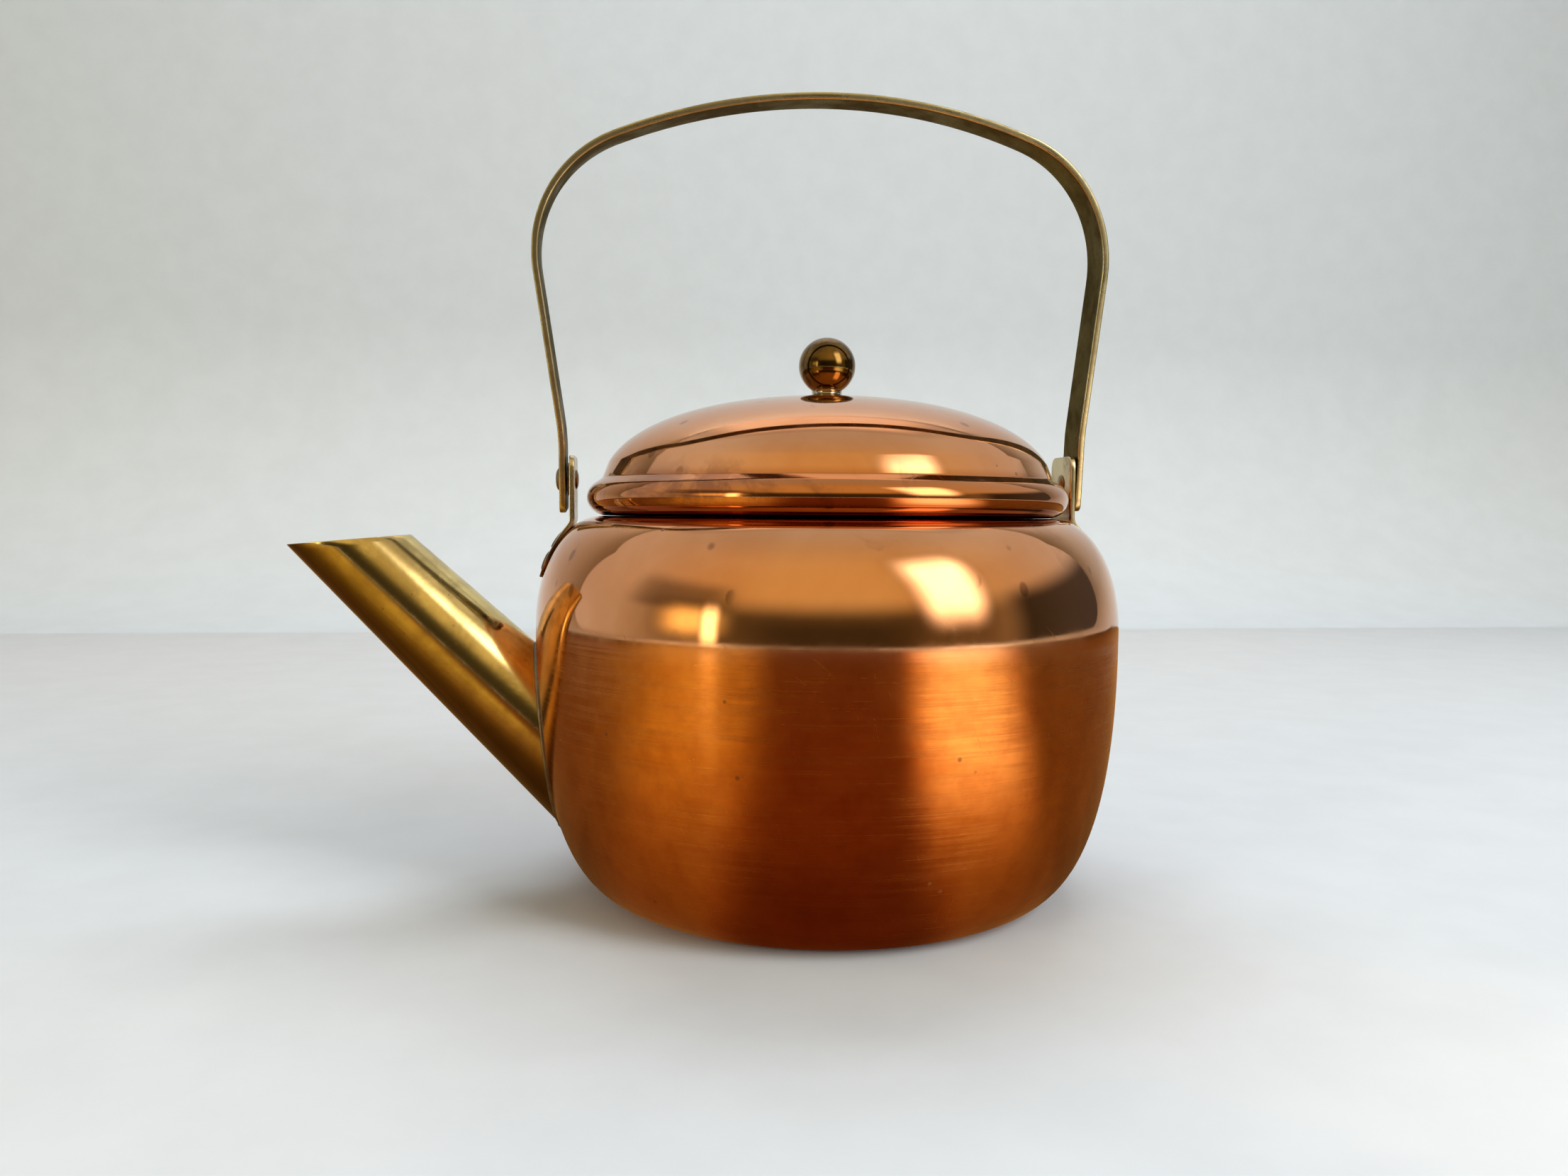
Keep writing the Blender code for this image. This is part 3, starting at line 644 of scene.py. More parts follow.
def make_materials():
    spout_axis = (math.cos(SPOUT_SLOPE), 0.0, -math.sin(SPOUT_SLOPE))
    return {
        "body": spun(copper("copper_body", 0.7), 0.9),
        "lid": spun(copper("copper_lid", 2.1, 0.5, lid=True), 0.3),
        "tin": metal("tinned_inside", (0.66, 0.64, 0.60), (0.36, 0.33, 0.30), 0.38, 0.3,
                     tarnish=0.7, line_depth=0.010),
        # the spout's brass, with painted shade on what faces down
        "spout": metal("spout_brass", (0.84, 0.63, 0.25), (0.15, 0.072, 0.012), 0.12, 1.3,
                       tarnish=0.40, line_depth=0.003, spots=0.35, painted_shade_below=0.9,
                       drawn_along=spout_axis),
        "strap": metal("strap_brass", (0.16, 0.13, 0.085), (0.075, 0.062, 0.045), 0.34, 2.2,
                       edge_wear=(0.80, 0.66, 0.33), grazing=(0.42, 0.38, 0.30)),
        "lug": metal("lug_brass", (0.55, 0.44, 0.22), (0.29, 0.22, 0.11), 0.24, 3.1,
                     edge_wear=(0.86, 0.68, 0.30), low=(LUG_TARNISHED, LUG_FOOT_TARNISH)),
        "edge": metal("lug_edge_brass", (0.92, 0.80, 0.50), (0.45, 0.36, 0.19), 0.22, 7.1,
                      tarnish=0.6, low=(LUG_TARNISHED, LUG_FOOT_TARNISH)),
        "rim": metal("strap_edge_brass", (0.68, 0.60, 0.35), (0.33, 0.28, 0.16), 0.28, 7.9,
                     spots=0.15, grazing=(0.8, 0.75, 0.6)),
        "knob": metal("knob_brass", (0.27, 0.150, 0.038), (0.085, 0.045, 0.014), 0.08, 4.2,
                      line_depth=0.001, spots=0.4, low=(KNOB_NECK_RING, KNOB_NECK_PALE)),
        "rivet": metal("rivet_brass", (0.30, 0.21, 0.11), (0.12, 0.08, 0.05), 0.30, 5.2,
                       line_depth=0.004),
        # the lid's collar, darkened as painted shade for the gap under the lid
        "collar": metal("collar_copper_painted_shade", (0.42, 0.17, 0.08), (0.22, 0.09, 0.05), 0.34, 8.4,
                        tarnish=0.9, line_depth=0.010),
        "solder": metal("solder_grey", (0.40, 0.38, 0.35), (0.20, 0.18, 0.16), 0.42, 6.4,
                        line_depth=0.012),
    }


# ---------------------------------------------------------------- pieces

def vessel_outside():
    """The vessel's outside from the mouth's throat down to the centre of the base."""
    shoulder = ellipse_arc((SHOULDER_RADIUS, BELLY_HEIGHT), BELLY_RADIUS - SHOULDER_RADIUS,
                           TOP_HEIGHT - BELLY_HEIGHT, math.pi / 2, 0.0, 30)
    belly = ellipse_arc((BASE_RADIUS, BELLY_HEIGHT), BELLY_RADIUS - BASE_RADIUS,
                        BELLY_HEIGHT, 0.0, -math.pi / 2, 44, BELLY_POWER)
    throat = rounded([(MOUTH_RADIUS, TOP_HEIGHT - THROAT_DEPTH, 0),
                      (MOUTH_RADIUS, TOP_HEIGHT, THROAT_BEND),
                      (SHOULDER_RADIUS, TOP_HEIGHT, 0)], 6)
    return throat[:-1] + shoulder + belly[1:]


def vessel_radius(z):
    """The outside radius of the vessel's wall at a height."""
    if z >= BELLY_HEIGHT:
        share = min(1.0, (z - BELLY_HEIGHT) / (TOP_HEIGHT - BELLY_HEIGHT))
        return SHOULDER_RADIUS + (BELLY_RADIUS - SHOULDER_RADIUS) * math.sqrt(1 - share * share)
    share = min(1.0, (BELLY_HEIGHT - z) / BELLY_HEIGHT)
    return BASE_RADIUS + (BELLY_RADIUS - BASE_RADIUS) * (1 - share ** BELLY_POWER) ** (1 / BELLY_POWER)


def make_vessel(looks):
    """The vessel's copper outside and tinned inside, with the spout's hole cut through its wall."""
    outside = vessel_outside()
    inner = [(max(0.0, r), z) for r, z in reversed(offset(outside, -WALL))]
    base = [(BASE_RADIUS - 2, 0.0), (38.0, 0.0), (36.4, 0.12), (35.2, 0.5), (34.0, 0.62),
            (20.0, 0.66), (0.0, 0.7)]
    floor = [(0.0, 1.5), (30.0, 1.45), (38.0, 0.9)]
    profile = floor + inner[1:] + outside + base
    kinds = [1] * (len(floor) + len(inner) - 1) + [0] * (len(outside) + len(base))
    obj = lathe("kettle_body_copper", profile, [looks["body"], looks["tin"]], kinds=kinds)
    bore = spout_cone("bore", -SPOUT_WALL - SPOUT_HOLE_LEDGE, 0.0, SPOUT_BORE_END, looks["tin"])
    return cut(obj, [bore])


SPOUT_AXIS = Vector((math.cos(SPOUT_SLOPE), 0.0, -math.sin(SPOUT_SLOPE)))
SPOUT_SIDE = Vector((0.0, 1.0, 0.0))
SPOUT_UP = SPOUT_SIDE.cross(SPOUT_AXIS)


def spout_point(along, angle, grow=0.0):
    """A point on the spout's cone, along its axis from the mouth's centre towards the vessel."""
    radius = SPOUT_MOUTH_RADIUS + along * math.tan(SPOUT_TAPER) + grow
    centre = Vector((SPOUT_MOUTH[0], 0.0, SPOUT_MOUTH[1])) + SPOUT_AXIS * along
    return centre + (SPOUT_SIDE * math.cos(angle) + SPOUT_UP * math.sin(angle)) * radius


def spout_cone(name, grow, start, end, material):
    """A solid length of the spout's cone."""
    steps = 64
    rows = [[spout_point(a, 2 * math.pi * k / steps, grow) for k in range(steps)] for a in (start, end)]
    return add_mesh(name, rows[0] + rows[1], tube_faces(2, steps), [material])


def mouth_along(angle, grow, lower):
    """How far along the axis the cone's line at an angle crosses the mouth's plane, lowered."""
    normal = Vector((-math.sin(SPOUT_MOUTH_SLOPE), 0.0, math.cos(SPOUT_MOUTH_SLOPE)))
    centre = Vector((SPOUT_MOUTH[0], 0.0, SPOUT_MOUTH[1]))

    def above(along):
        return (spout_point(along, angle, grow) - centre).dot(normal) > -lower

    return last_true(-40.0, 60.0, above)


def root_along(angle, grow, sink):
    """How far along the axis the cone's line at an angle meets the vessel, sunk into its wall."""
    def outside(along):
        p = spout_point(along, angle, grow)
        return math.hypot(p.x, p.y) > vessel_radius(p.z) - sink

    return last_true(20.0, 95.0, outside)


def make_spout(looks):
    """A tube with a wall and a rounded rim, whose root sinks into the vessel's wall."""
    steps = 160
    edge = SPOUT_RIM_EDGE
    lengths = [i / 40 for i in range(41)]
    # each ring: how far out from the cone, its share of the tube's length, and how far below the rim
    rings = [(0.0, share, 0.0) for share in reversed(lengths)]
    rings += [(-edge * 0.3, None, edge * 0.3), (-edge, None, 0.02),
              (-SPOUT_WALL + edge, None, 0.02), (-SPOUT_WALL + edge * 0.3, None, edge * 0.3)]
    rings += [(-SPOUT_WALL, share, 0.0) for share in lengths]
    vertices = []
    arcs = []
    for grow, share, lower in rings:
        for k in range(steps):
            angle = 2 * math.pi * k / steps
            if share is None:
                along = mouth_along(angle, grow, lower)
            else:
                start = mouth_along(angle, grow, edge)
                end = root_along(angle, grow, SPOUT_ROOT_SINK)
                along = start + (end - start) * share
            vertices.append(spout_point(along, angle, grow))
            arcs.append(along)
    faces = tube_faces(len(rings), steps, closed=True)
    inside = range(len(rings) - len(lengths), len(rings) - 1)
    indices = [int(i in inside) for i in range(len(rings)) for _ in range(steps)]
    return add_mesh("spout_tube", vertices, faces, [looks["spout"], looks["lug"]], indices, arcs, 40)


def make_seam(looks):
    """A thin, slightly uneven bead of solder along the spout's root."""
    steps = 180
    ring = 10
    grow = 0.12
    raised = 0.08
    path = []
    for k in range(steps):
        angle = 2 * math.pi * k / steps
        path.append(spout_point(root_along(angle, grow, -raised), angle, grow))
    vertices = []
    for k in range(steps):
        ahead = (path[(k + 1) % steps] - path[k - 1]).normalized()
        out = Vector((path[k].x, path[k].y, 0.0)).normalized()
        side = ahead.cross(out).normalized()
        out = side.cross(ahead)
        size = SEAM_RADIUS * (1 + 0.16 * math.sin(7.3 * k) * math.sin(0.31 * k))
        for i in range(ring):
            turn = 2 * math.pi * i / ring
            vertices.append(path[k] + (out * math.cos(turn) + side * math.sin(turn)) * size)
    faces = tube_faces(steps, ring, closed=True)
    return add_mesh("spout_solder_bead", vertices, faces, [looks["solder"]])


def make_lid(looks):
    """The dome and its bead in one shell, copper outside and tinned inside."""
    dome = ellipse_arc((0.0, DOME_BASE), DOME_RADIUS, DOME_RISE, math.pi / 2,
                       math.acos(CREASE_RADIUS / DOME_RADIUS), 46, DOME_POWER)
    dome[0] = (0.0, DOME_BASE + DOME_RISE)
    centre = (BEAD_CENTRE_RADIUS, BEAD_BOTTOM + BEAD_HALF_HEIGHT)
    crease = math.acos((CREASE_RADIUS - BEAD_CENTRE_RADIUS) / BEAD_WIDTH)
    bead = ellipse_arc(centre, BEAD_WIDTH, BEAD_HALF_HEIGHT, crease, -math.pi / 2, 30)
    soft = rounded([(*dome[-6], 0), (*dome[-1], 0.7), (*bead[4], 0)], 5)
    outside = dome[:-6] + soft + bead[5:] + [(SEAT_RADIUS, BEAD_BOTTOM)]
    inside = offset(outside, -WALL)
    inside[0] = (0.0, DOME_BASE + DOME_RISE - WALL)
    profile = list(reversed(inside)) + outside
    kinds = [1] * (len(inside) - 1) + [0] * (len(outside) + 1)
    return lathe("lid_copper", profile, [looks["lid"], looks["tin"]], kinds=kinds)


def make_knob(looks):
    """A ball on a short neck with a flared foot."""
    foot = DOME_BASE + DOME_RISE - 0.05
    start = math.asin(NECK_RADIUS / BALL_RADIUS) - math.pi / 2
    ball = ellipse_arc((0.0, BALL_HEIGHT), BALL_RADIUS, BALL_RADIUS, math.pi / 2, start, 40)
    ball[0] = (0.0, BALL_HEIGHT + BALL_RADIUS)
    flare = [(-0.12, 1.25), (-0.1, 0.95), (0.15, 0.7), (0.42, 0.55), (0.5, 0.3), (0.45, 0.0)]
    neck = [(NECK_RADIUS + out, foot + up) for out, up in flare] + [(0.0, foot)]
    return lathe("knob_ball", ball + neck, [looks["knob"]], 72, sharp=50)


def shoulder_point(angle, out=0.0):
    """A point on the shoulder at an angle of its ellipse, moved outwards, and its normal's slope."""
    width = BELLY_RADIUS - SHOULDER_RADIUS
    height = TOP_HEIGHT - BELLY_HEIGHT
    normal = Vector((math.cos(angle) / width, math.sin(angle) / height)).normalized()
    point = Vector((SHOULDER_RADIUS + width * math.cos(angle), BELLY_HEIGHT + height * math.sin(angle)))
    return point + normal * out, math.atan2(normal.y, normal.x)


def shoulder_angle(radius, out):
    """The angle of the shoulder's ellipse at a radius, for a surface moved outwards."""
    return last_true(0.0, math.pi / 2, lambda angle: shoulder_point(angle, out)[0].x > radius)


def path_frames(path):
    """For each point of a path in a plane, its distance along and its unit normal to the left."""
    frames = []
    along = 0.0
    for i, point in enumerate(path):
        along += math.dist(path[i - 1], point) if i else 0.0
        a = Vector(path[max(0, i - 1)])
        b = Vector(path[min(len(path) - 1, i + 1)])
        ahead = (b - a).normalized()
        frames.append((along, Vector(point), Vector((-ahead.y, ahead.x))))
    return frames


def frame_at(frames, s):
    """The point and the normal at a distance along evenly spaced frames."""
    last = len(frames) - 1
    share = max(0.0, min(1.0, s / frames[-1][0])) * last
    i = min(int(share), last - 1)
    t = share - i
    a = frames[i]
    b = frames[i + 1]
    return a[1].lerp(b[1], t), a[2].lerp(b[2], t).normalized()


def corner_width(width, s, length, first, last):
    """Half the width of a strip whose ends have rounded corners."""
    half = width / 2
    if s < first:
        half -= first - math.sqrt(max(0.0, first * first - (first - s) ** 2))
    if length - s < last:
        rest = length - s
        half -= last - math.sqrt(max(0.0, last * last - (last - rest) ** 2))
    return half


def outset(side):
    """How much further out a side's ear and leg stand."""
    return LEFT_OUTSET if side < 0 else 0.0


def make_lug(name, side, looks):
    """A strip with a flat ear at its top and a thinner foot that wraps round the shoulder."""
    ear = EAR_INNER + LUG_THICKNESS / 2 + outset(side)
    out = FOOT_GAP + LUG_THICKNESS / 2
    bend = shoulder_angle(ear, out)
    steps = 24
    foot = [shoulder_point(bend + (FOOT_END - bend) * i / steps, out)[0] for i in range(steps + 1)]
    top = LUG_TOP + (RIGHT_RAISED if side > 0 else 0.0)
    path = rounded([(ear, top, 0), (foot[0].x, foot[0].y, LUG_BEND), (foot[3].x, foot[3].y, 0)], 10)
    path += [(p.x, p.y) for p in foot[4:]]
    path = resampled(path, 0.25)
    frames = path_frames(path)
    length = frames[-1][0]

    def place(s, v, t):
        point, normal = frame_at(frames, s)
        below = TOP_HEIGHT - 1.0 - point.y
        thin = max(0.0, min(1.0, below / 5.0))
        t = t * (1 - 0.5 * thin) - LUG_THICKNESS * 0.25 * thin
        radius = point.x + normal.x * t
        z = point.y + normal.y * t
        wrap = max(0.0, min(1.0, below / 3.0))
        wrap = wrap * wrap * (3 - 2 * wrap)
        x = radius + (radius * math.cos(v / radius) - radius) * wrap
        y = v + (radius * math.sin(v / radius) - v) * wrap
        return (side * x, side * y, z)

    def half(s):
        return corner_width(LUG_WIDTH, s, length, LUG_CORNER, LUG_FOOT_CORNER)

    return bent_strip(name, length, half, LUG_THICKNESS, place, [looks["lug"], looks["edge"]],
                      step=0.6, across=16, edge=0.22)


def dome_rivet(name, radius, height, shank, looks):
    """A low domed rivet head on a shank, standing on z = 0."""
    top = ellipse_arc((0.0, 0.0), radius, height, math.pi / 2, 0.05, 10, 2.3)
    top[0] = (0.0, height)
    profile = top + [(radius * 0.985, -0.06), (radius * 0.5, -0.06), (radius * 0.5, -shank),
                     (0.0, -shank)]
    return lathe(name, profile, [looks["rivet"]], 40, sharp=40)


def make_lug_rivets(name, side, looks):
    """The two rivets of a lug's foot, square to the shoulder."""
    rivets = []
    for label, angle in zip(("upper", "lower"), LUG_RIVET_ANGLES):
        rivet = dome_rivet("%s_%s_head" % (name, label), LUG_RIVET_RADIUS, LUG_RIVET_HEIGHT,
                           LUG_RIVET_SHANK, looks)
        point, slope = shoulder_point(angle, FOOT_GAP + LUG_THICKNESS / 2)
        turn = Matrix.Rotation(0.0 if side > 0 else math.pi, 4, "Z")
        tilt = Matrix.Rotation(math.pi / 2 - slope, 4, "Y")
        rivet.data.transform(turn @ Matrix.Translation((mm(point.x), 0.0, mm(point.y))) @ tilt)
        rivets.append(rivet)
    return rivets


def make_pivot(name, side, looks):
    """The handle's rivet, headed outside the strap and inside the ear, and a washer between them."""
    low = EAR_INNER - 0.02 + outset(side)
    high = STRAP_INNER + STRAP_THICKNESS + 0.05 + outset(side)
    head = ellipse_arc((0.0, high), PIVOT_HEAD_RADIUS, PIVOT_HEAD_HEIGHT, math.pi / 2, 0.05, 10, 2.4)
    head[0] = (0.0, high + PIVOT_HEAD_HEIGHT)
    tail = ellipse_arc((0.0, low), PIVOT_TAIL_RADIUS, PIVOT_TAIL_HEIGHT, -0.05, -math.pi / 2, 10, 2.2)
    tail[-1] = (0.0, low - PIVOT_TAIL_HEIGHT)
    shank = [(PIVOT_HEAD_RADIUS - 0.08, high), (PIVOT_SHANK_RADIUS, high),
             (PIVOT_SHANK_RADIUS, low), (PIVOT_TAIL_RADIUS - 0.04, low)]
    rivet = lathe("%s_pivot_pin" % name, head + shank + tail, [looks["rivet"]], 48, sharp=40)
    middle = (EAR_INNER + LUG_THICKNESS + STRAP_INNER) / 2 + outset(side)
    rim = [(WASHER_BORE, middle + 0.2), (WASHER_RADIUS - 0.15, middle + 0.2),
           (WASHER_RADIUS, middle + 0.1), (WASHER_RADIUS, middle - 0.1),
           (WASHER_RADIUS - 0.15, middle - 0.2), (WASHER_BORE, middle - 0.2)]
    washer = lathe("%s_pivot_disc" % name, rim, [looks["rivet"]], 48, closed=True)
    outwards = Matrix.Rotation(side * math.pi / 2, 4, "Y")
    for obj in (rivet, washer):
        obj.data.transform(Matrix.Translation((0.0, 0.0, mm(PIVOT_HEIGHT))) @ outwards)
    return rivet, washer


def handle_path():
    """The strap's centreline in X and Z, from the right end over the arch to the left end."""
    start = STRAP_INNER + STRAP_THICKNESS / 2
    corner = (CORNER_WIDEST - CORNER_RADIUS, CORNER_HEIGHT)
    bend = ellipse_arc(corner, CORNER_RADIUS, CORNER_RADIUS, -LEG_TILT, math.pi / 2 - ARCH_START, 40)
    end = PIVOT_HEIGHT - STRAP_END_BELOW_PIVOT
    leg = rounded([(start, end, 0), (start, STRAP_PAD_TOP + 4, LEG_BLEND_RADIUS),
                   (*bend[0], 0)], 12)
    arch_radius = bend[-1][0] / math.sin(ARCH_START)
    arch_centre = bend[-1][1] - arch_radius * math.cos(ARCH_START)
    arch = ellipse_arc((0.0, arch_centre), arch_radius, arch_radius,
                       math.pi / 2 - ARCH_START, math.pi / 2, 24)
    half = leg[:-1] + bend + arch[1:]
    path = half + [(-x, z) for x, z in reversed(half[:-1])]
    rise = arch[-1][1] - STRAP_PAD_TOP
    bent = []
    for x, z in path:
        share = max(0.0, (z - STRAP_PAD_TOP) / rise)
        left = max(0.0, min(1.0, -x / start))
        bent.append((x + ARCH_SWAY * share - LEFT_OUTSET * left, z + ARCH_UNEVEN * x * share))
    bent[0] = (bent[0][0], end + RIGHT_RAISED)
    return bent


def make_handle(looks):
    """The strap, bent along its path in one plane that leans back a little."""
    frames = path_frames(resampled(handle_path(), 0.4))
    length = frames[-1][0]
    lean = Matrix.Rotation(HANDLE_LEAN, 3, "X")

    def place(s, v, t):
        point, normal = frame_at(frames, s)
        p = lean @ Vector((point.x - normal.x * t, v, point.y - normal.y * t - PIVOT_HEIGHT))
        return (p.x, p.y, p.z + PIVOT_HEIGHT)

    def half(s):
        return corner_width(STRAP_WIDTH, s, length, STRAP_CORNER, STRAP_CORNER)

    return bent_strip("handle_band", length, half, STRAP_THICKNESS, place,
                      [looks["strap"], looks["rim"]], step=1.2, edge=0.3)


def paint(node, material):
    """A better material on a CAD node that stays."""
    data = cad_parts[node].data
    data.materials.clear()
    data.materials.append(material)


def make_kettle(looks):
    """Every piece, with the body that it rides on, its slot and the CAD node that it replaces."""
    pieces = [(make_vessel(looks), "kettle", "copper", "body_shell"),
              (make_spout(looks), "kettle", "brass", "spout"),
              (make_seam(looks), "kettle", "solder", "spout_solder_seam"),
              (make_lid(looks), "lid", "copper", "lid_dome"),
              (make_knob(looks), "lid", "dark_brass", "knob"),
              (make_handle(looks), "handle", "old_brass", "handle_strap")]
    for name, side in (("left", -1), ("right", 1)):
        lug = make_lug("%s_lug_strip" % name, side, looks)
        pieces.append((lug, "kettle", "old_brass", "%s_lug" % name))
        rivets = make_lug_rivets("%s_lug_rivet" % name, side, looks)
        for rivet, label in zip(rivets, ("upper", "lower")):
            pieces.append((rivet, "kettle", "old_brass", "%s_lug_rivet_%s" % (name, label)))
        pin, disc = make_pivot(name, side, looks)
        pieces.append((pin, "kettle", "dark_brass", "%s_pivot_rivet" % name))
        pieces.append((disc, "kettle", "old_brass", "%s_pivot_washer" % name))
    for obj, body, slot, node in pieces:
        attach(obj, body)
        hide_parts(node)
    # the dark collar is painted shade in the gap under the lid
    paint("lid_collar", looks["collar"])
    paint("knob_stud", looks["rivet"])
    paint("knob_washer", looks["strap"])
    paint("knob_nut", looks["strap"])


# ---------------------------------------------------------------- stage

def stage_material(name, tone, rough):
    g = Graph(name)
    speckle = g.noise(g.position(), 40.0, 4.0, 0.6)
    base = g.mix(g.step(speckle, 0.3, 0.7), colour(*tone), colour(*(c * 0.96 for c in tone)))
    g.shade({"Base Color": base, "Roughness": rough, "Normal": g.bump(speckle, mm(0.05), 0.5)})
    return g.material


def make_stage():
    """A pale floor that sweeps up into a pale wall behind the kettle."""
    front, back, half_width, height = -1200.0, 800.0, 1600.0, 1200.0
    bend = 250.0
    quarter = ellipse_arc((back - bend, bend), bend, bend, -math.pi / 2, 0.0, 24)
    profile = [(front, 0.0), (0.0, 0.0)] + quarter + [(back, height)]
    vertices = []
    for y, z in profile:
        vertices += [(-half_width, y, z), (half_width, y, z)]
    faces = [[2 * i, 2 * i + 1, 2 * i + 3, 2 * i + 2] for i in range(len(profile) - 1)]
    floor = stage_material("stage_floor", (0.485, 0.54, 0.60), 0.6)
    add_mesh("floor_sweep", vertices, faces, [floor])


def only_reflected(card):
    """Hides a card from all but reflections."""
    for ray in ("camera", "diffuse", "shadow", "transmission", "volume_scatter"):
        setattr(card, "visible_" + ray, False)


def turn_to_kettle(obj, azimuth, elevation, distance):
    """Stands a light off the kettle, turned to it. Azimuth 0 is in front, at -Y."""
    a = math.radians(azimuth)
    e = math.radians(elevation)
    out = Vector((math.sin(a) * math.cos(e), -math.cos(a) * math.cos(e), math.sin(e)))
    obj.location = Vector((0.0, 0.0, 0.07)) + out * distance
    obj.rotation_mode = "QUATERNION"
    obj.rotation_quaternion = out.to_track_quat("Z", "Y")


def area_light(name, azimuth, elevation, distance, size, power, tint):
    """A soft rectangular light that shows in no reflection."""
    data = bpy.data.lights.new(name, "AREA")
    data.shape = "RECTANGLE"
    data.size, data.size_y = size
    data.energy = power
    data.color = tint
    obj = bpy.data.objects.new(name, data)
    bpy.context.scene.collection.objects.link(obj)
    turn_to_kettle(obj, azimuth, elevation, distance)
    obj.visible_camera = False
    obj.visible_glossy = False


def softbox(name, azimuth, elevation, distance, size, strength, tint, soft):
    """The soft-edged rectangle that polish mirrors where a light stands. soft is the edge's share."""
    g = Graph(name)
    x, y, _ = g.split(g.position())
    fades = []
    for coordinate, side in ((x, size[0]), (y, size[1])):
        share = g.math("ABSOLUTE", g.math("DIVIDE", coordinate, side / 2))
        fades.append(g.step(share, 1.0, 1.0 - soft))
    glow = g.times(*fades)
    light = g.add("Emission", {"Color": colour(*tint), "Strength": g.times(glow, strength)})
    g.surface(g.add("MixShader", {0: glow, 1: g.add("BsdfTransparent"), 2: light}))
    w = size[0] * 500
    h = size[1] * 500
    corners = [(-w, -h, 0), (w, -h, 0), (w, h, 0), (-w, h, 0)]
    card = add_mesh(name, corners, [[0, 1, 2, 3]], [g.material])
    turn_to_kettle(card, azimuth, elevation, distance)
    only_reflected(card)


def make_table_glow():
    """A painted reflection that the polish mirrors below: a glowing warm table top, with painted shade
    near the kettle, in front and at its sides.
    """
    g = Graph("table_glow")
    position = g.position()
    distance = g.add("VectorMath", {0: position}, 1, operation="LENGTH")
    grain = g.noise(g.scaled(position, (0.12, 1, 1)), 60.0, 3.0, 0.6)
    strength = g.step(distance, 0.03, 0.13, 0.26, 0.46)
    strength = g.times(strength, g.step(grain, 0.2, 0.8, 0.8, 1.2))
    front = g.lobe(position, -6.0, 34.0, 10.0)
    strength = g.times(strength, g.step(front, 0.0, 1.0, 1.0, 0.40))
    strength = g.dimmed(strength, g.lobe(position, 92.0, 54.0, 12.0), 0.5)
    strength = g.dimmed(strength, g.lobe(position, -100.0, 40.0, 12.0), 0.55)
    # the light of the right window and of the left one, lying on the table
    window = g.times(g.lobe(position, 41.0, 26.0, 0.0), g.step(distance, 0.07, 0.22))
    strength = g.times(strength, g.plus(1.0, g.times(window, 4.8)))
    golden = g.times(g.lobe(position, -59.0, 42.0, 0.0), g.step(distance, 0.09, 0.22))
    strength = g.times(strength, g.plus(1.0, golden))
    strength = g.times(strength, g.step(distance, 0.5, 0.9, 1.0, 0.4))
    tint = g.mix(front, colour(1.0, 0.50, 0.14), colour(1.0, 0.26, 0.06))
    tint = g.mix(golden, tint, colour(1.0, 0.66, 0.14))
    tint = g.mix(window, tint, colour(1.0, 0.85, 0.66))
    g.surface(g.add("Emission", {"Color": tint, "Strength": strength}))
    radius, height, steps = 900.0, 0.3, 48
    rim = [(radius * math.cos(2 * math.pi * k / steps), radius * math.sin(2 * math.pi * k / steps),
            height) for k in range(steps)]
    only_reflected(add_mesh("table_glow", rim, [list(range(steps))], [g.material]))


def make_lights():
    """Lights and the cards that stand for them in the polish.

    Each says azimuth, elevation, distance, size, power or strength, and tint.
    """
    area_light("window_right", 45.0, 26.0, 1.1, (0.40, 0.90), 15.0, (1.0, 0.98, 0.95))
    area_light("window_left", -48.0, 10.0, 1.2, (0.14, 0.7), 3.6, (1.0, 0.92, 0.80))
    area_light("room_left", -60.0, 6.0, 1.25, (0.60, 0.8), 4.5, (1.0, 0.72, 0.38))
    softbox("window_right_card", 41.0, 30.0, 1.1, (0.74, 1.30), 4.2, (1.0, 0.97, 0.90), 0.7)
    softbox("window_left_card", -50.0, 6.0, 1.1, (0.22, 0.64), 4.8, (1.0, 0.90, 0.62), 0.8)
    softbox("room_left_card", -58.0, 8.0, 1.25, (1.00, 0.60), 2.0, (1.0, 0.82, 0.34), 0.9)
    area_light("ceiling", 175.0, 62.0, 1.3, (1.3, 0.7), 15.0, (0.97, 0.98, 1.0))
    softbox("ceiling_card", 175.0, 62.0, 1.3, (1.5, 0.8), 1.1, (1.0, 0.93, 0.88), 0.6)


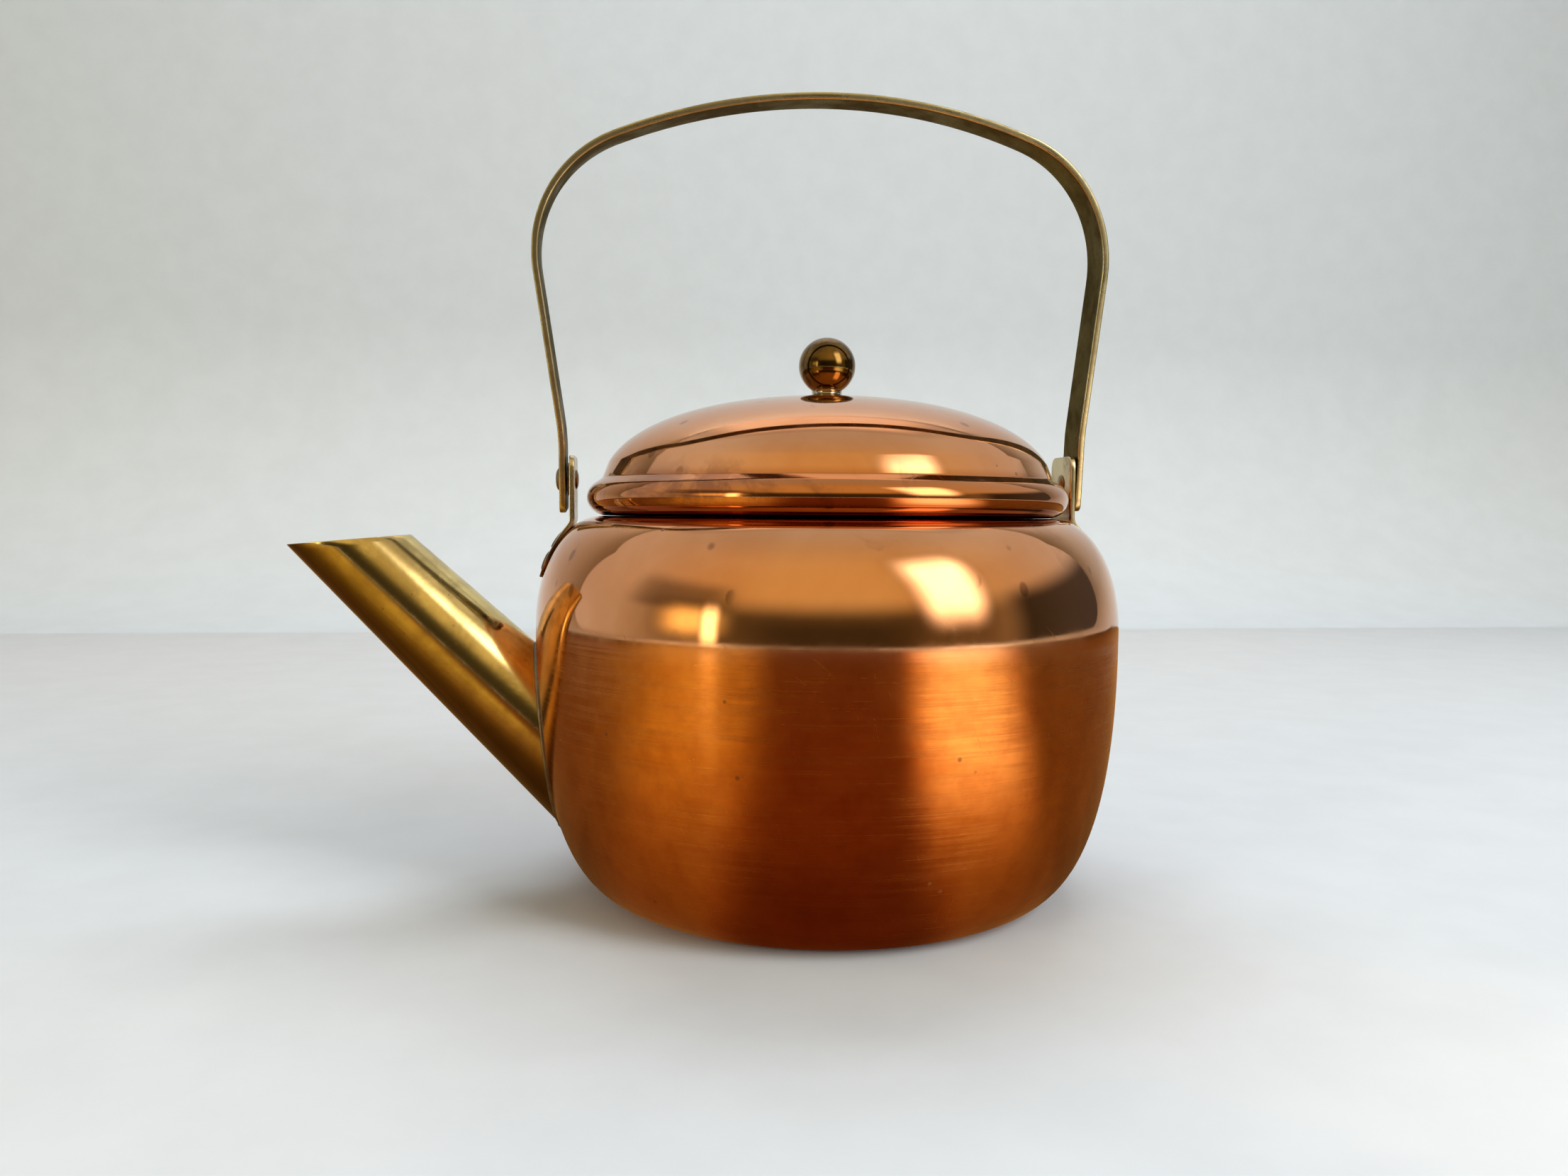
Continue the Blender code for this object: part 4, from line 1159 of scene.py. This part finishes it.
def make_world():
    """A warm dim room in front, a pale one behind, and a plain pale backdrop for the camera."""
    world = bpy.data.worlds.new("studio")
    world.use_nodes = True
    bpy.context.scene.world = world
    g = Graph("studio", world.node_tree)
    direction = g.add("TexCoord", output=0)
    _, y, height = g.split(direction)
    behind = g.step(y, -0.80, 0.35)
    strength = g.blend(behind, g.step(height, 0.20, 0.46, 0.14, 0.74), 0.80)
    strength = g.times(strength, g.step(height, 0.75, 1.0, 1.0, 0.85))
    # dark furniture: azimuth, its edge and core in degrees, how dark, and its lower and upper fade
    shades = [(-6.0, 42.0, 12.0, 0.6, None, (0.10, 0.35)),
              (96.0, 36.0, 20.0, 0.88, None, (0.26, 0.44)),
              (-66.0, 28.0, 8.0, 0.6, (0.20, 0.28), (0.42, 0.58))]
    darkest = 0.0
    for azimuth, edge, core, amount, lower, upper in shades:
        shade = g.times(g.lobe(direction, azimuth, edge, core), amount)
        shade = g.times(shade, g.step(height, *upper, 1.0, 0.0))
        if lower:
            shade = g.times(shade, g.step(height, *lower))
        darkest = g.math("MAXIMUM", darkest, shade)
    strength = g.dimmed(strength, darkest, 1.0)
    pale = colour(0.80, 0.83, 0.85)
    seen = g.add("LightPath", output=0)
    background = g.tree.nodes["Background"]
    g.put(background.inputs[0], g.mix(seen, g.mix(behind, colour(1.0, 0.77, 0.36), pale), pale))
    g.put(background.inputs[1], g.blend(seen, strength, 0.72))


def make_camera():
    """A wide lens close to the kettle, a little above half its height."""
    azimuth = math.radians(-8.5)
    distance = 0.267
    height = 0.0837
    heading = math.radians(2.0)
    pitch = math.radians(-3.7)
    roll = math.radians(0.4)
    data = bpy.data.cameras.new("camera")
    data.sensor_fit = "HORIZONTAL"
    data.sensor_width = 36.0
    data.lens = 27.05
    data.clip_start = 0.01
    obj = bpy.data.objects.new("camera", data)
    bpy.context.scene.collection.objects.link(obj)
    eye = Vector((distance * math.sin(azimuth), -distance * math.cos(azimuth), height))
    flat = Matrix.Rotation(heading, 3, "Z") @ Vector((-eye.x, -eye.y, 0.0)).normalized()
    ahead = flat * math.cos(pitch) + Vector((0.0, 0.0, math.sin(pitch)))
    turn = ahead.to_track_quat("-Z", "Y").to_matrix().to_4x4() @ Matrix.Rotation(roll, 4, "Z")
    obj.matrix_world = Matrix.Translation(eye) @ turn
    bpy.context.scene.camera = obj


bpy.context.scene.view_settings.view_transform = "Standard"
make_stage()
make_table_glow()
make_lights()
make_world()
make_camera()
make_kettle(make_materials())
